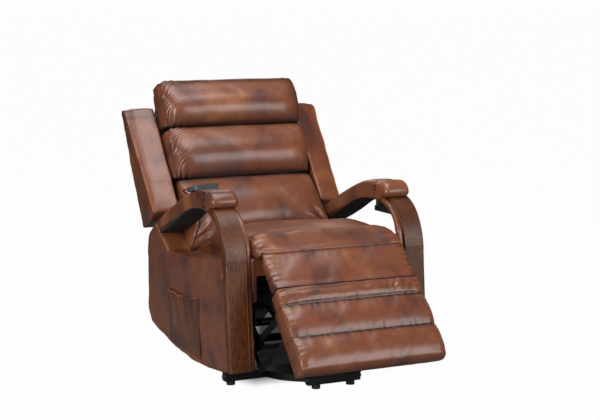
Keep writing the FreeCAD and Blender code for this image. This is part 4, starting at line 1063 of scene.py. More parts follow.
        def crests(places: np.ndarray) -> np.ndarray:
            """Ridges and the valleys beside them, which fan out from each lower corner."""
            x, s, n = self.local(places)
            inward = self.corner_tip[0] - np.abs(x)
            risen = s - self.corner_tip[1]
            total = np.zeros(len(places))
            for angle, high, width in self.corner_ridges:
                along = inward * math.cos(angle) + risen * math.sin(angle)
                away = risen * math.cos(angle) - inward * math.sin(angle)
                reach = step(along, 0.000, 0.014) * step(along, 0.125, 0.055)
                total += high * ridge(away, width + 0.05 * np.maximum(along, 0.0)) * reach
            return total * step(n, self.rear + 0.03, self.rear + 0.06)

        def shape(places: np.ndarray) -> np.ndarray:
            """Ridges of the corners over a slow wave."""
            x, s, n = self.local(places)
            front = step(n, self.rear + 0.03, self.rear + 0.06)
            return crests(places) * self.corner_height + 0.0008 * folds(x, s, 0.21, 5.0) * front

        raise_by(piece, shape)

        def shade_and_rub(places: np.ndarray) -> np.ndarray:
            """Rubbed wear and painted highlight on the ridges; painted shade beside them, below the rolls and
            towards its rear, down at the seat.
            """
            _, s, n = self.local(places)
            return crests(places) * 0.8 - ridge(s - self.lumbar_top, 0.012) * 0.8 - step(n, 0.03, -0.01) * 0.9

        wear(piece, shade_and_rub)
        dresser.upholster(piece, "lumbar_cushion", 0.8)

    def hang_corners(self, piece: bpy.types.Object) -> None:
        """Lets the lumbar cushion's lower corners hang forward over the seat, and tucks its bottom in."""
        places = points_of(piece)
        x, s, n = self.local(places)
        low_end = step(s, 0.15, 0.01) * step(n, self.rear, self.rear + 0.06)
        side = step(np.abs(x), self.lumbar_half - 0.17, self.lumbar_half - 0.06)
        drop = self.corner_drop * low_end * side
        forward = self.corner_forward * low_end * side
        tucked = self.bottom_tuck * step(s, 0.06, 0.0) * step(n, 0.02, -0.03)
        places[:, 0] += np.sign(x) * self.corner_outward * low_end * side
        places[:, 1] += -drop * self.up[0] - forward * self.up[1]
        places[:, 2] += -drop * self.up[1] + forward * self.up[0] - tucked
        place(piece, places)

    def wing(self, dresser: Dresser, node: str, side: int) -> None:
        """Makes one wing with a piped seam down the outer edge of its front, lightened along it as rubbed
        wear and painted highlight.

        Args:
            dresser: Makes and finishes the piece.
            node: CAD node of the wing.
            side: -1 on the sitter's right, 1 on the left.
        """
        piece = dresser.soft(node, voxel=0.005, rounding=4)
        low, high = self.wing_span
        edge = []
        for s in np.linspace(low, high, 24):
            outer = self.wing_outer - self.wing_flare * (high - s) / self.wing_length
            edge.append(self.spot(side * outer, s, self.wing_face - self.wing_slope * (s - self.wing_base)))

        def plump(places: np.ndarray) -> np.ndarray:
            """Slight stuffing on the front face, with a groove inside the piping."""
            x, s, n = self.local(places)
            face = step(np.abs(x), self.wing_inner, self.wing_inner + 0.03)
            face *= step(np.abs(x), self.wing_outer - 0.01, self.wing_outer - 0.04)
            seam = ridge(distance_to_path(places, edge) - 0.007, 0.003) * 0.0014
            return 0.004 * face * step(s, 0.10, 0.18) + 0.0012 * folds(s, n, 0.12, 1.3 * side) - seam

        raise_by(piece, plump)
        # Lighter along the front's outer edge: rubbed wear and painted highlight.
        wear(piece, lambda places: ridge(distance_to_path(places, edge), 0.010) * 1.2)
        dresser.upholster(piece, node, 0.9)
        laid = on_surface(piece, edge, 0.0002)
        dresser.line(node + "_piping", laid, 0.0020, dresser.finishes.piping, "back")

    def narrow_top(self, piece: bpy.types.Object, share: float) -> None:
        """Narrows what stands above the wings.

        Args:
            piece: Board or cover.
            share: How much narrower its top gets.
        """
        places = points_of(piece)
        places[:, 0] *= 1.0 - share * step(places[:, 2], self.wing_top - 0.05, self.wing_top + 0.01)
        place(piece, places)

    def board(self, dresser: Dresser) -> None:
        """Makes the board behind the rolls, in black dust cloth below the wings, which also gives painted
        shade in the gaps beside the rolls, and leather above the wings.
        """
        piece = dresser.soft("back_board", voxel=0.006, rounding=1)
        raise_by(piece, lambda places: 0.0006 * folds(places[:, 0], places[:, 2], 0.05, 3.0))
        self.narrow_top(piece, 0.10)
        # Black dust cloth: painted shade where the board shows in the gaps beside the rolls.
        dresser.finish(piece, dresser.finishes.cloth, Slot.CLOTH, "back_board", 1.0)
        paint(piece, dresser.finishes.leather, lambda faces: (faces[:, 2] > self.wing_top).astype(float))

    def cover(self, dresser: Dresser) -> None:
        """Makes the outside back with its side seams."""
        piece = dresser.soft("back_cover", voxel=0.006, rounding=2)

        def sag(places: np.ndarray) -> np.ndarray:
            """Slow wave of a loose cover, and its sunk side seams."""
            x, s, n = self.local(places)
            seam = ridge(np.abs(x) - self.cover_seam, 0.004) * 0.0025
            return 0.0014 * folds(x, s, 0.15, 6.0) - seam * step(n, self.rear, self.rear - 0.03)

        raise_by(piece, sag)
        self.narrow_top(piece, 0.07)
        # Painted shade in the sunk side seams.
        wear(piece, lambda places: -0.5 * ridge(np.abs(places[:, 0]) - self.cover_seam, 0.006))
        dresser.upholster(piece, "back_cover", 0.7)


@dataclass
class Seat:
    """Seat cushion and the covered rail below its front."""

    half: float = 0.276
    edge_y: float = -0.334
    rear: float = 0.228
    rear_reach: float = 0.045
    shoulder_drop: float = 0.036
    shoulder_inward: float = 0.020
    cap: float = 0.014
    slack: float = 0.02
    box_seam: float = 0.016
    box_seam_depth: float = 0.002
    pucker_pitch: float = 0.026
    pucker_height: float = 0.0012
    crease_z: float = 0.445

    def build(self, dresser: Dresser) -> None:
        """Makes the pieces of the seat."""
        self.cushion(dresser)
        rail = dresser.soft("seat_front_rail", voxel=0.005, rounding=2)
        raise_by(rail, lambda places: 0.0010 * folds(places[:, 0], places[:, 2], 0.07, 1.0))
        # Painted shade: darker towards the rail's bottom, below the seat's front.
        wear(rail, lambda places: -0.3 * step(places[:, 2], 0.40, 0.33))
        dresser.upholster(rail, "seat_front_rail", 1.0)

    def cushion(self, dresser: Dresser) -> None:
        """Makes the boxed seat cushion, with puckers beside its seams and at its front corners."""
        piece = dresser.soft("seat_cushion", voxel=0.0065, rounding=3)
        self.fit_rear(piece)

        def held(places: np.ndarray) -> np.ndarray:
            """Its box below the seams, and its front edge."""
            low = step(places[:, 2], 0.470, 0.440)
            front = step(places[:, 1], self.edge_y + 0.02, self.edge_y)
            return np.maximum(low, front)

        Stuffing(self.cap, self.slack).inflate(piece, held)

        def seams(places: np.ndarray) -> np.ndarray:
            """Sunk side seams, the puckers beside them and a slow wave."""
            x, y, z = places.T
            away = np.abs(x) - (self.half - self.box_seam)
            top = step(z, 0.455, 0.475)
            corner = 1.0 + 4.5 * step(y, self.edge_y + 0.10, self.edge_y + 0.01)
            pucker = folds(y, np.abs(x), self.pucker_pitch, 3.0) * np.exp(-np.abs(away) / 0.024)
            pucker *= self.pucker_height * top * corner
            sunk = ridge(away, 0.004) * self.box_seam_depth
            return pucker + (0.0009 * folds(x, y, 0.20, 2.0) - sunk) * top

        raise_by(piece, seams)
        subdivide(piece)
        # Painted shade in a band along the crease at crease_z.
        wear(piece, lambda places: -0.6 * ridge(places[:, 2] - self.crease_z, 0.02))
        dresser.upholster(piece, "seat_cushion", 0.8)

    def fit_rear(self, piece: bpy.types.Object) -> None:
        """Takes the lower rear under the back, and cuts the shoulders away beside the lumbar cushion."""
        places = points_of(piece)
        x, y, z = places.T.copy()
        places[:, 1] += self.rear_reach * step(y, self.rear - 0.03, self.rear) * step(z, 0.450, 0.430)
        y = places[:, 1]
        shoulder = step(y, 0.04, 0.14) * step(np.abs(x), 0.14, 0.22) * step(z, 0.40, 0.44)
        places[:, 2] -= self.shoulder_drop * shoulder
        places[:, 0] -= np.sign(x) * self.shoulder_inward * shoulder
        place(piece, places)


@dataclass
class Footrest:
    """Channelled pad on its wrapped board, and the flap that joins it to the seat.

    Places on it are x across, s down its face from the seat's edge, and n out of its face. A join holds a
    height out of the face, the seam's place down it, and where the piece keeps its own shape.
    """

    edge: tuple[float, float] = (-0.334, 0.478)
    down: tuple[float, float] = (-0.670, -0.742)
    half: float = 0.268
    join: float = 0.148
    channels: tuple[float, float] = (0.213, 0.333)
    pad_cap: float = 0.012
    pad_hem: float = 0.012
    pad_pucker: float = 0.022
    pad_join: tuple[float, float, float] = (0.0215, 0.150, 0.176)
    channel_depth: float = 0.003
    slash_spot: tuple[float, float] = (0.185, 0.178)
    slash_height: float = 0.0026
    stitch_span: tuple[float, float] = (0.168, 0.450)
    flap_hem: float = 0.010
    flap_pucker: float = 0.021
    flap_join: tuple[float, float, float] = (0.0200, 0.143, 0.120)
    stretch: tuple[float, float] = (0.01, 0.147)

    def local(self, places: np.ndarray) -> tuple[np.ndarray, np.ndarray]:
        """Distance down the footrest and out of its face."""
        y = places[:, 1] - DEPTH_SHIFT - self.edge[0]
        z = places[:, 2] - self.edge[1]
        return y * self.down[0] + z * self.down[1], y * self.down[1] - z * self.down[0]

    def spot(self, x: float, s: float, n: float) -> Point:
        """Point of the frame for a place in the footrest's own directions."""
        y = self.edge[0] + s * self.down[0] + n * self.down[1]
        return (x, y + DEPTH_SHIFT, self.edge[1] + s * self.down[1] - n * self.down[0])

    def crease(self, places: np.ndarray) -> np.ndarray:
        """Distance down the face to the nearest sewn channel."""
        s, _ = self.local(places)
        return np.min([np.abs(s - channel) for channel in self.channels], axis=0)

    def from_hem(self, places: np.ndarray, hem: float) -> np.ndarray:
        """Distance across to the nearer side seam, which lies a hem inside the edge."""
        return np.abs(np.abs(places[:, 0]) - (self.half - hem))

    def build(self, dresser: Dresser) -> None:
        """Makes the pieces of the footrest."""
        self.pad(dresser)
        self.flap(dresser)
        board = dresser.soft("footrest_board", voxel=0.005, rounding=2)
        raise_by(board, lambda places: 0.0008 * folds(places[:, 0], places[:, 2], 0.06, 2.0))
        dresser.upholster(board, "footrest_board", 1.0)

    def level(self, piece: bpy.types.Object, height: float, edge: float, away: float) -> None:
        """Brings the face up to one height at its seam, where flap and pad are sewn together flat.

        Args:
            piece: Flap or pad.
            height: Distance out of the footrest's zero plane.
            edge: Place of the seam down the footrest.
            away: Where the face keeps its own shape.
        """
        places = points_of(piece)
        s, n = self.local(places)
        share = step(s, away, edge) * step(n, -0.004, 0.006)
        share *= step(np.abs(places[:, 0]), self.half, self.half - 0.012)
        out = np.maximum(height - n, 0.0) * share
        places[:, 1] += out * self.down[1]
        places[:, 2] -= out * self.down[0]
        place(piece, places)

    def pad(self, dresser: Dresser) -> None:
        """Makes the pad, which two channels sew into three rolls."""
        piece = dresser.soft("footrest_pad", voxel=0.006, rounding=2)

        def held(places: np.ndarray) -> np.ndarray:
            """Its rear and the sewn channels."""
            _, n = self.local(places)
            return np.maximum(step(n, 0.004, -0.006), ridge(self.crease(places), 0.007))

        Stuffing(self.pad_cap).inflate(piece, held)
        self.level(piece, *self.pad_join)

        def sewn(places: np.ndarray) -> np.ndarray:
            """Puckers down both sides, gathers at the channels, and slanted folds in the top panel."""
            x = places[:, 0]
            s, n = self.local(places)
            away = self.from_hem(places, self.pad_hem)
            crease = self.crease(places)
            first = step(s, self.channels[0], self.channels[0] - 0.01)
            pucker = folds(s, away, self.pad_pucker, 1.0) * np.exp(-away / (0.014 + 0.018 * first))
            pucker *= 0.0010 + 0.0020 * first
            slash = folds(x + 0.7 * s, away * 0.1, 0.030, 4.0) * first
            slash *= ridge(x - self.slash_spot[0], 0.055) * ridge(s - self.slash_spot[1], 0.022)
            slash *= self.slash_height
            gather = folds(x, crease, 0.030, 2.0) * np.exp(-crease / 0.016) * 0.0010
            wave = 0.0012 * folds(x, s, 0.12, 5.0)
            seams = ridge(away, 0.003) * 0.0016 + ridge(crease, 0.004) * self.channel_depth
            seams += ridge(s - self.join, 0.003) * 0.0018
            return (pucker + slash + gather + wave - seams) * step(n, -0.01, 0.012)

        raise_by(piece, sewn)
        subdivide(piece)

        def shade_and_rub(places: np.ndarray) -> np.ndarray:
            """Rubbed wear and painted highlight down both edges; painted shade in the valleys of the edge
            puckers, in the channels and in the join.
            """
            s, _ = self.local(places)
            away = self.from_hem(places, self.pad_hem)
            edge = folds(s, away, self.pad_pucker, 1.0) * np.exp(-away / 0.012) + ridge(away, 0.005)
            side = step(np.abs(places[:, 0]), self.half - 0.006, self.half - 0.001) * 0.5
            dark = ridge(self.crease(places), 0.007) * 0.9 + ridge(s - self.join, 0.003) * 0.8
            return edge * 0.5 + side - dark

        wear(piece, shade_and_rub)
        dresser.upholster(piece, "footrest_pad", 0.8)
        path = [self.spot(0.004 - self.half, s, 0.012) for s in np.linspace(*self.stitch_span, 14)]
        laid = on_surface(piece, path, 0.0004)
        dresser.line("footrest_edge_stitch", laid, 0.0013, dresser.finishes.piping, "footrest")

    def flap(self, dresser: Dresser) -> None:
        """Makes the flap between the seat edge and the pad."""
        piece = dresser.soft("footrest_flap", voxel=0.006, rounding=2)
        self.level(piece, *self.flap_join)

        def sewn(places: np.ndarray) -> np.ndarray:
            """Puckers down both sides, and gathers below the seat's edge."""
            s, n = self.local(places)
            away = self.from_hem(places, self.flap_hem)
            corner = 1.0 + 1.2 * step(s, 0.05, 0.01)
            pucker = folds(s, away, self.flap_pucker, 3.0) * np.exp(-away / 0.014) * 0.0017 * corner
            gather = folds(places[:, 0], s, 0.034, 2.0) * np.exp(-np.maximum(s, 0.0) / 0.014) * 0.0012
            return (pucker + gather + 0.0012 * folds(places[:, 0], s, 0.18, 7.0)) * step(n, -0.012, 0.004)

        raise_by(piece, sewn)
        subdivide(piece)

        def shade_and_rub(places: np.ndarray) -> np.ndarray:
            """Rubbed wear and painted highlight down both edges; painted shade in the valleys of the puckers
            and in both seams.
            """
            s, _ = self.local(places)
            away = self.from_hem(places, self.flap_hem)
            edge = folds(s, away, self.flap_pucker, 3.0) * np.exp(-away / 0.014) * 0.7
            return edge - ridge(s - 0.1465, 0.002) * 0.8 - ridge(s - 0.005, 0.004) * 0.6

        wear(piece, shade_and_rub)
        activate(piece)
        bpy.ops.object.shade_smooth()
        piece.data.materials.append(dresser.finishes.leather)
        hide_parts("footrest_flap")
        start, end = (self.spot(0, s, 0) for s in self.stretch)
        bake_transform(piece)
        reach = self.half - 0.008
        seam = [self.spot(x, 0.001, 0.0045) for x in np.linspace(-reach, reach, 9)]
        piping = dresser.line("seat_edge_piping", seam, 0.0028, dresser.finishes.piping, "flap_root")
        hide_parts("flap_seam")


@dataclass
class Arms:
    """Arched arm pads with rolled fronts, the posts' piping, and the covered boards inside them."""

    cap_seam: float = -0.112
    cap_centre_z: float = 0.630
    cap_radius: float = 0.045
    cap_rise: float = 0.004
    gather_pitch: float = 0.013
    gather_height: float = 0.0026
    seam_depth: float = 0.0030
    crown: float = 0.003
    half_width: float = 0.047
    shadow_edge: tuple[tuple[float, float], ...] = ((-0.35, 0.47), (-0.1, 0.56), (0.1, 0.60), (0.19, 0.615))
    lower_edge: tuple[tuple[float, float], ...] = (
        (-0.15, 0.596), (-0.02, 0.593), (0.102, 0.550), (0.205, 0.502), (0.302, 0.4645),
    )
    thread_radius: float = 0.0009
    bright_points: int = 7
    post_front: tuple[tuple[float, float], ...] = (
        (-0.166, 0.620), (-0.194, 0.604), (-0.221, 0.584), (-0.250, 0.557), (-0.273, 0.520), (-0.292, 0.470),
        (-0.302, 0.420), (-0.309, 0.340), (-0.316, 0.260), (-0.325, 0.170), (-0.334, 0.084),
    )

    def build(self, dresser: Dresser) -> None:
        """Makes both arms."""
        for side, word in ((-1, "right"), (1, "left")):
            self.pad(dresser, "arm_pad_" + word, side)
            self.trim(dresser, word, side)
        for node in ("post_boards", "rear_skirt"):
            boards = dresser.soft(node, voxel=0.005, rounding=2)
            raise_by(boards, lambda places: 0.0008 * folds(places[:, 2], places[:, 0], 0.08, 2.0))
            dresser.upholster(boards, node, 1.0)
            if node == "rear_skirt":
                # Black cloth on the skirt's front-facing faces: a dust liner, and painted shade inside the
                # chair.
                paint(boards, dresser.finishes.cloth, lambda faces: (faces[:, 4] < -0.5).astype(float))

    def pad(self, dresser: Dresser, node: str, side: int) -> None:
        """Makes one arm pad: a rolled cap in front of its gathered seam, and a darker band behind it.

        Args:
            dresser: Makes and finishes the piece.
            node: CAD node of the pad.
            side: -1 on the sitter's right, 1 on the left.
        """
        piece = dresser.soft(node, voxel=0.005, rounding=3)
        centre = (ARM_INNER_X + ARM_OUTER_X) / 2

        def gathers(places: np.ndarray, reach: float) -> np.ndarray:
            """Gathers that run round the cap's seam and fade away from it."""
            x, y, z = places.T
            away = np.abs(y - self.cap_seam)
            around = np.arctan2(z - self.cap_centre_z, np.abs(x) - centre) * self.cap_radius
            return folds(around, away, self.gather_pitch, 2.0 + side) * np.exp(-away / reach)

        def rolled(places: np.ndarray) -> np.ndarray:
            """Fuller cap, gathers, sunk seam and a crown across the top."""
            x, y, z = places.T
            front = step(y, self.cap_seam + 0.005, self.cap_seam - 0.035)
            top = step(z - 0.62, -0.03, 0.02)
            crown = self.crown * (1.0 - np.minimum(1.0, np.abs(np.abs(x) - centre) / self.half_width) ** 2)
            seam = ridge(y - self.cap_seam, 0.0035) * self.seam_depth
            return self.cap_rise * front + (gathers(places, 0.020) * self.gather_height - seam + crown) * top

        raise_by(piece, rolled)
        subdivide(piece)

        def shade_and_rub(places: np.ndarray) -> np.ndarray:
            """Rubbed wear and painted highlight on the gathers; painted shade between them, in the seam and
            below the arch.
            """
            _, y, z = places.T
            under = step(z - np.interp(-y, *zip(*self.shadow_edge)), 0.004, -0.008)
            return gathers(places, 0.018) * 0.8 - ridge(y - self.cap_seam, 0.004) * 0.7 - under * 0.8

        wear(piece, shade_and_rub)
        dresser.upholster(piece, node, 0.8)

        def underneath(faces: np.ndarray) -> np.ndarray:
            """Faces that look down at the arch's lower edge."""
            behind = faces[:, 1] > self.cap_seam + 0.005
            lowest = np.interp(faces[:, 1], *zip(*self.lower_edge))
            return (behind & (faces[:, 5] < -0.25) & (faces[:, 2] < lowest + 0.012)).astype(float)

        paint(piece, dresser.finishes.band, lambda faces: (faces[:, 1] > self.cap_seam).astype(float))
        # Black cloth under the arch: a dust liner, and painted shade where the arch's underside is in shadow.
        paint(piece, dresser.finishes.cloth, underneath)

    def trim(self, dresser: Dresser, word: str, side: int) -> None:
        """Lays a fine light line down both edges of a post's face, partly a painted highlight of those edges:
        bright thread above, plain piping below.

        Args:
            dresser: Lays the lines.
            word: "right" or "left".
            side: -1 on the sitter's right, 1 on the left.
        """
        post = frame["nodes"]["arm_post_" + word]
        for name, x in (("outer", ARM_OUTER_X - 0.003), ("inner", POST_INNER_X + 0.003)):
            path = [(px, py - 0.003, pz) for px, py, pz in at_x(side * x, self.post_front)]
            laid = on_surface(post, path, 0.0)
            looks = dresser.finishes
            for kind, run, material in (
                ("thread", laid[: self.bright_points], looks.thread),
                ("welt", laid[self.bright_points - 1 :], looks.piping),
            ):
                dresser.line(f"post_{name}_{kind}_{word}", run, self.thread_radius, material, "chair")


@dataclass
class SidePanels:
    """Covered side panels and the gathered magazine pocket."""

    pocket_x: float = -ARM_OUTER_X
    pocket_lift: float = 0.0015
    bulge: float = 0.0065
    mouth_dip: float = 0.011
    gather_height: float = 0.0042
    fold_height: float = 0.0048
    sheet: float = 0.0022
    cells: tuple[int, int] = (70, 56)
    corners: tuple[tuple[float, float], ...] = (
        (0.218, 0.276), (-0.061, 0.289), (-0.074, 0.074), (0.214, 0.086),
    )
    edge_seam: tuple[tuple[float, float], ...] = ((-0.061, 0.289), (-0.071, 0.143), (-0.079, 0.058))
    top_seam: tuple[tuple[float, float], ...] = ((0.351, 0.499), (0.302, 0.4645), (0.229, 0.413))

    def build(self, dresser: Dresser) -> None:
        """Makes both panels and the pocket."""
        for side, word in ((-1, "right"), (1, "left")):
            self.panel(dresser, word, side)
        self.pocket(dresser)

    def panel(self, dresser: Dresser, word: str, side: int) -> None:
        """Makes one panel, with a light thread down its top seam.

        Args:
            dresser: Makes and finishes the piece.
            word: "right" or "left".
            side: -1 on the sitter's right, 1 on the left.
        """
        node = "side_panel_" + word
        piece = dresser.soft(node, voxel=0.006, rounding=2)
        seam = at_x(side * ARM_OUTER_X, self.edge_seam)
        top_seam = at_x(side * ARM_OUTER_X, self.top_seam)

        def padded(places: np.ndarray) -> np.ndarray:
            """Slow waves of leather over a board, and the sunk front seam."""
            x, y, z = places.T
            face = step(np.abs(x), ARM_OUTER_X - 0.006, ARM_OUTER_X - 0.002)
            wave = 0.0016 * folds(y, z, 0.17, 2.0 + side) + 0.0010 * folds(z, y, 0.09, 4.0)
            return (wave - ridge(distance_to_path(places, seam), 0.004) * 0.0022) * face

        raise_by(piece, padded)
        subdivide(piece)

        def shade_and_rub(places: np.ndarray) -> np.ndarray:
            """Rubbed wear and painted highlight down the top seam; painted shade in the front seam and on the
            inner faces.
            """
            inner = step(np.abs(places[:, 0]), ARM_OUTER_X - 0.02, ARM_INNER_X + 0.01)
            dark = ridge(distance_to_path(places, seam), 0.0035)
            light = ridge(distance_to_path(places, top_seam), 0.007)
            return light * 0.9 - dark * 0.9 - inner * 0.15

        wear(piece, shade_and_rub)
        dresser.upholster(piece, node, 0.9)
        path = [point for start, end in zip(top_seam, top_seam[1:]) for point in along_line(start, end, 5)]
        laid = on_surface(piece, path, 0.0004)
        dresser.line("panel_top_thread_" + word, laid, 0.0010, dresser.finishes.thread, "chair")

    def pocket(self, dresser: Dresser) -> None:
        """Makes the pouch: a sheet that bellies out from its sewn edges to a gathered mouth."""
        bpy.ops.object.select_all(action="DESELECT")
        bpy.ops.mesh.primitive_grid_add(x_subdivisions=self.cells[0], y_subdivisions=self.cells[1], size=2.0)
        piece = bpy.context.object
        piece.name = "side_pocket_cover"
        places = points_of(piece)
        u = (places[:, 0] + 1.0) / 2.0
        v = (places[:, 1] + 1.0) / 2.0
        rear_top, front_top, front_low, rear_low = (np.array(corner) for corner in self.corners)
        low = rear_low[None] * (1 - u)[:, None] + front_low[None] * u[:, None]
        high = rear_top[None] * (1 - u)[:, None] + front_top[None] * u[:, None]
        flat = low * (1 - v)[:, None] + high * v[:, None]
        belly = np.sin(math.pi * np.clip(u, 0, 1)) ** 0.55
        flat[:, 1] -= self.mouth_dip * belly * v**3
        away = 1.0 - v
        gather = folds(flat[:, 0], away * 0.1, 0.046, 2.0) * np.exp(-away / 0.16) * belly
        slant = folds(flat[:, 0] + away * 0.06, away * 0.1, 0.090, 5.0) * np.exp(-away / 0.34) * belly
        out = self.pocket_lift + self.bulge * step(v, 0.0, 0.35) * belly
        out += gather * self.gather_height + slant * self.fold_height * step(v, 0.1, 0.5)
        made = np.column_stack([self.pocket_x - out, flat[:, 0] + DEPTH_SHIFT, flat[:, 1]])
        place(piece, made)
        activate(piece)
        bpy.ops.object.mode_set(mode="EDIT")
        bpy.ops.mesh.select_all(action="SELECT")
        bpy.ops.mesh.normals_make_consistent(inside=False)
        bpy.ops.object.mode_set(mode="OBJECT")
        if np.mean(normals_of(piece)[:, 0]) > 0:
            piece.data.flip_normals()
        modify(piece, "SOLIDIFY", thickness=self.sheet, offset=-1.0)
        subdivide(piece)

        def shade_and_rub(places: np.ndarray) -> np.ndarray:
            """Rubbed wear and painted highlight on what stands out; painted shade in the valleys."""
            raised = (self.pocket_x - places[:, 0]) - 0.010
            return np.clip(raised / 0.006, -0.9, 0.9) * 0.6

        wear(piece, shade_and_rub)
        dresser.upholster(piece, "side_pocket", 0.3)
        order = np.argsort(u[v > 0.99])
        mouth = made[v > 0.99][order][::5]
        hem = [(x - 0.0003, y, z + 0.001) for x, y, z in mouth]
        dresser.line("pocket_hem", hem, 0.0032, dresser.finishes.piping, "chair")


@dataclass
class Handset:
    """Cord of the wired handset on the sitter's right arm."""

    radius: float = 0.0025
    length: float = 0.3809
    sides: int = 3
    steps: int = 12
    route: tuple[Point, ...] = (
        (-0.3853, 0.0119, 0.6602),
        (-0.390, 0.023, 0.6572),
        (-0.3905, 0.042, 0.6535),
        (-0.381, 0.060, 0.6465),
        (-0.363, 0.078, 0.635),
        (-0.342, 0.102, 0.6245),
        (-0.320, 0.124, 0.614),
        (-0.297, 0.138, 0.607),
        (-0.279, 0.148, 0.597),
        (-0.280, 0.158, 0.556),
        (-0.280, 0.168, 0.516),
        (-0.285, 0.172, 0.481),
        (-0.298, 0.168, 0.455),
        (-0.306, 0.165, 0.434),
        (-0.3065, 0.1645, 0.4191),
    )

    def build(self, dresser: Dresser) -> None:
        """Lays the cord from the handset into the side panel."""
        shifted = [(x, y + DEPTH_SHIFT, z) for x, y, z in self.route]
        lead = rod("handset_lead", shifted, self.radius, self.sides, self.steps)
        lead.data.materials.append(dresser.finishes.rubber)
        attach(lead, "chair")
        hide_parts("handset_cord")


@dataclass
class Frame:
    """CAD nodes that show as they are, in finished materials."""

    rounded: tuple[str, ...] = ("walnut", "grey_plastic", "black_plastic", "motor_plastic")
    crisp_angle: float = math.radians(35)

    def build(self, dresser: Dresser) -> None:
        """Dresses the rigid nodes."""
        looks = dresser.finishes
        by_slot = {
            "walnut": looks.walnut,
            "frame_wood": looks.plywood,
            "black_steel": looks.steel,
            "zinc_steel": looks.zinc,
            "rod_steel": looks.rod,
            "motor_plastic": looks.housing,
            "black_rubber": looks.rubber,
            "grey_plastic": looks.grey,
            "black_plastic": looks.black,
            "leather": looks.leather,
            "dust_cloth": looks.cloth,
        }
        for part in frame["record"]["subparts"]:
            node = frame["nodes"][part["node"]]
            node.data.materials.clear()
            node.data.materials.append(by_slot[part["material_slot"]])
            if part["material_slot"] in self.rounded:
                activate(node)
                bpy.ops.object.shade_smooth_by_angle(angle=self.crisp_angle)


@dataclass(frozen=True)
class Lamp:
    """Square soft lamp, with its place, its side in metres and its watts."""

    name: str
    spot: Point
    size: float
    power: float

    def hang(self, aim: Point) -> None:
        """Hangs the lamp and aims it at a point."""
        light = bpy.data.lights.new(self.name, "AREA")
        light.size = self.size
        light.energy = self.power
        lamp = bpy.data.objects.new(self.name, light)
        lamp.location = self.spot
        lamp.rotation_euler = (Vector(aim) - Vector(self.spot)).to_track_quat("-Z", "Y").to_euler()
        bpy.context.scene.collection.objects.link(lamp)


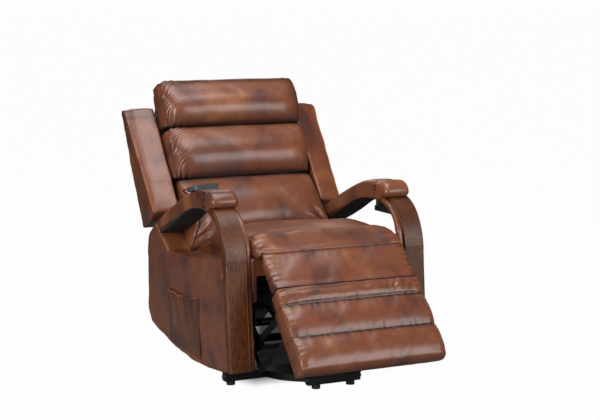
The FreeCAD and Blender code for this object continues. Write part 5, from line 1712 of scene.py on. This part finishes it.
@dataclass
class Studio:
    """Pale floor, soft lamps and the camera."""

    focal: float = 90.27
    sensor: float = 36.0
    eye: Point = (-2.3168, -4.7864 + DEPTH_SHIFT, 1.3123)
    turn: float = -0.45775
    dip: float = 0.13963
    aim: Point = (0.0, 0.0, 0.5)
    lamps: tuple[Lamp, ...] = (
        Lamp("overhead", (-0.2, -0.4, 3.3), 2.2, 76.0),
        Lamp("left", (-3.5, -2.2, 1.7), 1.8, 124.0),
        Lamp("right", (1.9, -4.0, 1.75), 2.2, 88.0),
        Lamp("behind", (0.8, 3.2, 2.6), 2.0, 22.0),
    )
    soft_light: float = 0.10
    floor_size: float = 400.0
    floor_tone: float = 0.18
    floor_glow: float = 1.05
    glow_share: float = 0.93
    shade_slant: float = 0.49
    shade_middle: float = 0.40
    shade_across: tuple[float, float] = (24.6, 0.415)
    shade_along: tuple[float, float] = (6.3, 1.57)

    def build(self) -> None:
        """Sets the stage."""
        scene = bpy.context.scene
        scene.view_settings.view_transform = "Standard"
        self.floor()
        self.world(scene)
        for lamp in self.lamps:
            lamp.hang(self.aim)
        lens = bpy.data.cameras.new("camera")
        lens.sensor_width = self.sensor
        lens.lens = self.focal
        camera = bpy.data.objects.new("camera", lens)
        camera.location = self.eye
        camera.rotation_euler = (math.pi / 2 - self.dip, 0.0, self.turn)
        scene.collection.objects.link(camera)
        scene.camera = camera

    def floor(self) -> None:
        """Lays a wide floor: white to the camera, and plain dark paper in a slanted zone under and behind the
        chair, a painted shadow in which the chair's real shadow also falls.
        """
        bpy.ops.object.select_all(action="DESELECT")
        bpy.ops.mesh.primitive_plane_add(size=self.floor_size)
        plane = bpy.context.object
        plane.name = "studio_floor"
        g = Graph("studio_paper")
        path = g.node("ShaderNodeLightPath").outputs["Is Camera Ray"]
        g.finish(Base_Color=(self.floor_tone,) * 3, Roughness=0.9)
        glow = g.node("ShaderNodeEmission", None, {"Color": (1.0, 1.0, 1.0), "Strength": self.floor_glow})
        split = g.node("ShaderNodeSeparateXYZ", None, {0: g.place})
        across = Value(g, split.outputs["X"])
        along = Value(g, split.outputs["Y"])
        # Painted shadow: the camera's white glow is taken away in this slanted zone.
        outside = self.beyond(across - along * self.shade_slant, *self.shade_across)
        outside = outside + self.beyond(along - self.shade_middle, *self.shade_along)
        share = Value(g, path) * outside.clamped() * self.glow_share
        both = g.node("ShaderNodeMixShader", None, {0: share, 1: g.shader.outputs[0], 2: glow.outputs[0]})
        output = g.tree.nodes["Material Output"]
        g.tree.links.new(both.outputs[0], output.inputs["Surface"])
        plane.data.materials.append(g.material)

    @staticmethod
    def beyond(distance: Value, steepness: float, start: float) -> Value:
        """Share that is 0 near a line and rises to 1 away from it, with the distance's square."""
        return (distance * distance * steepness - start).clamped()

    def world(self, scene: bpy.types.Scene) -> None:
        """Makes the background white to the camera and a plain soft light to the chair."""
        world = bpy.data.worlds.new("studio")
        scene.world = world
        world.use_nodes = True
        nodes = world.node_tree.nodes
        links = world.node_tree.links
        soft = nodes["Background"]
        soft.inputs["Color"].default_value = (1.0, 1.0, 1.0, 1.0)
        soft.inputs["Strength"].default_value = self.soft_light
        white = nodes.new("ShaderNodeBackground")
        white.inputs["Color"].default_value = (1.0, 1.0, 1.0, 1.0)
        path = nodes.new("ShaderNodeLightPath")
        mixed = nodes.new("ShaderNodeMixShader")
        links.new(path.outputs["Is Camera Ray"], mixed.inputs[0])
        links.new(soft.outputs[0], mixed.inputs[1])
        links.new(white.outputs[0], mixed.inputs[2])
        links.new(mixed.outputs[0], nodes["World Output"].inputs["Surface"])


def main() -> None:
    """Builds every sub-assembly."""
    logging.basicConfig(level=logging.INFO, format="%(message)s")
    dresser = Dresser(Finishes.make())
    Frame().build(dresser)
    Studio().build()
    for assembly in (Handset(), BackRest(), Seat(), Footrest(), Arms(), SidePanels()):
        assembly.build(dresser)
        log.info("%s built", type(assembly).__name__)


if __name__ == "__main__":
    main()
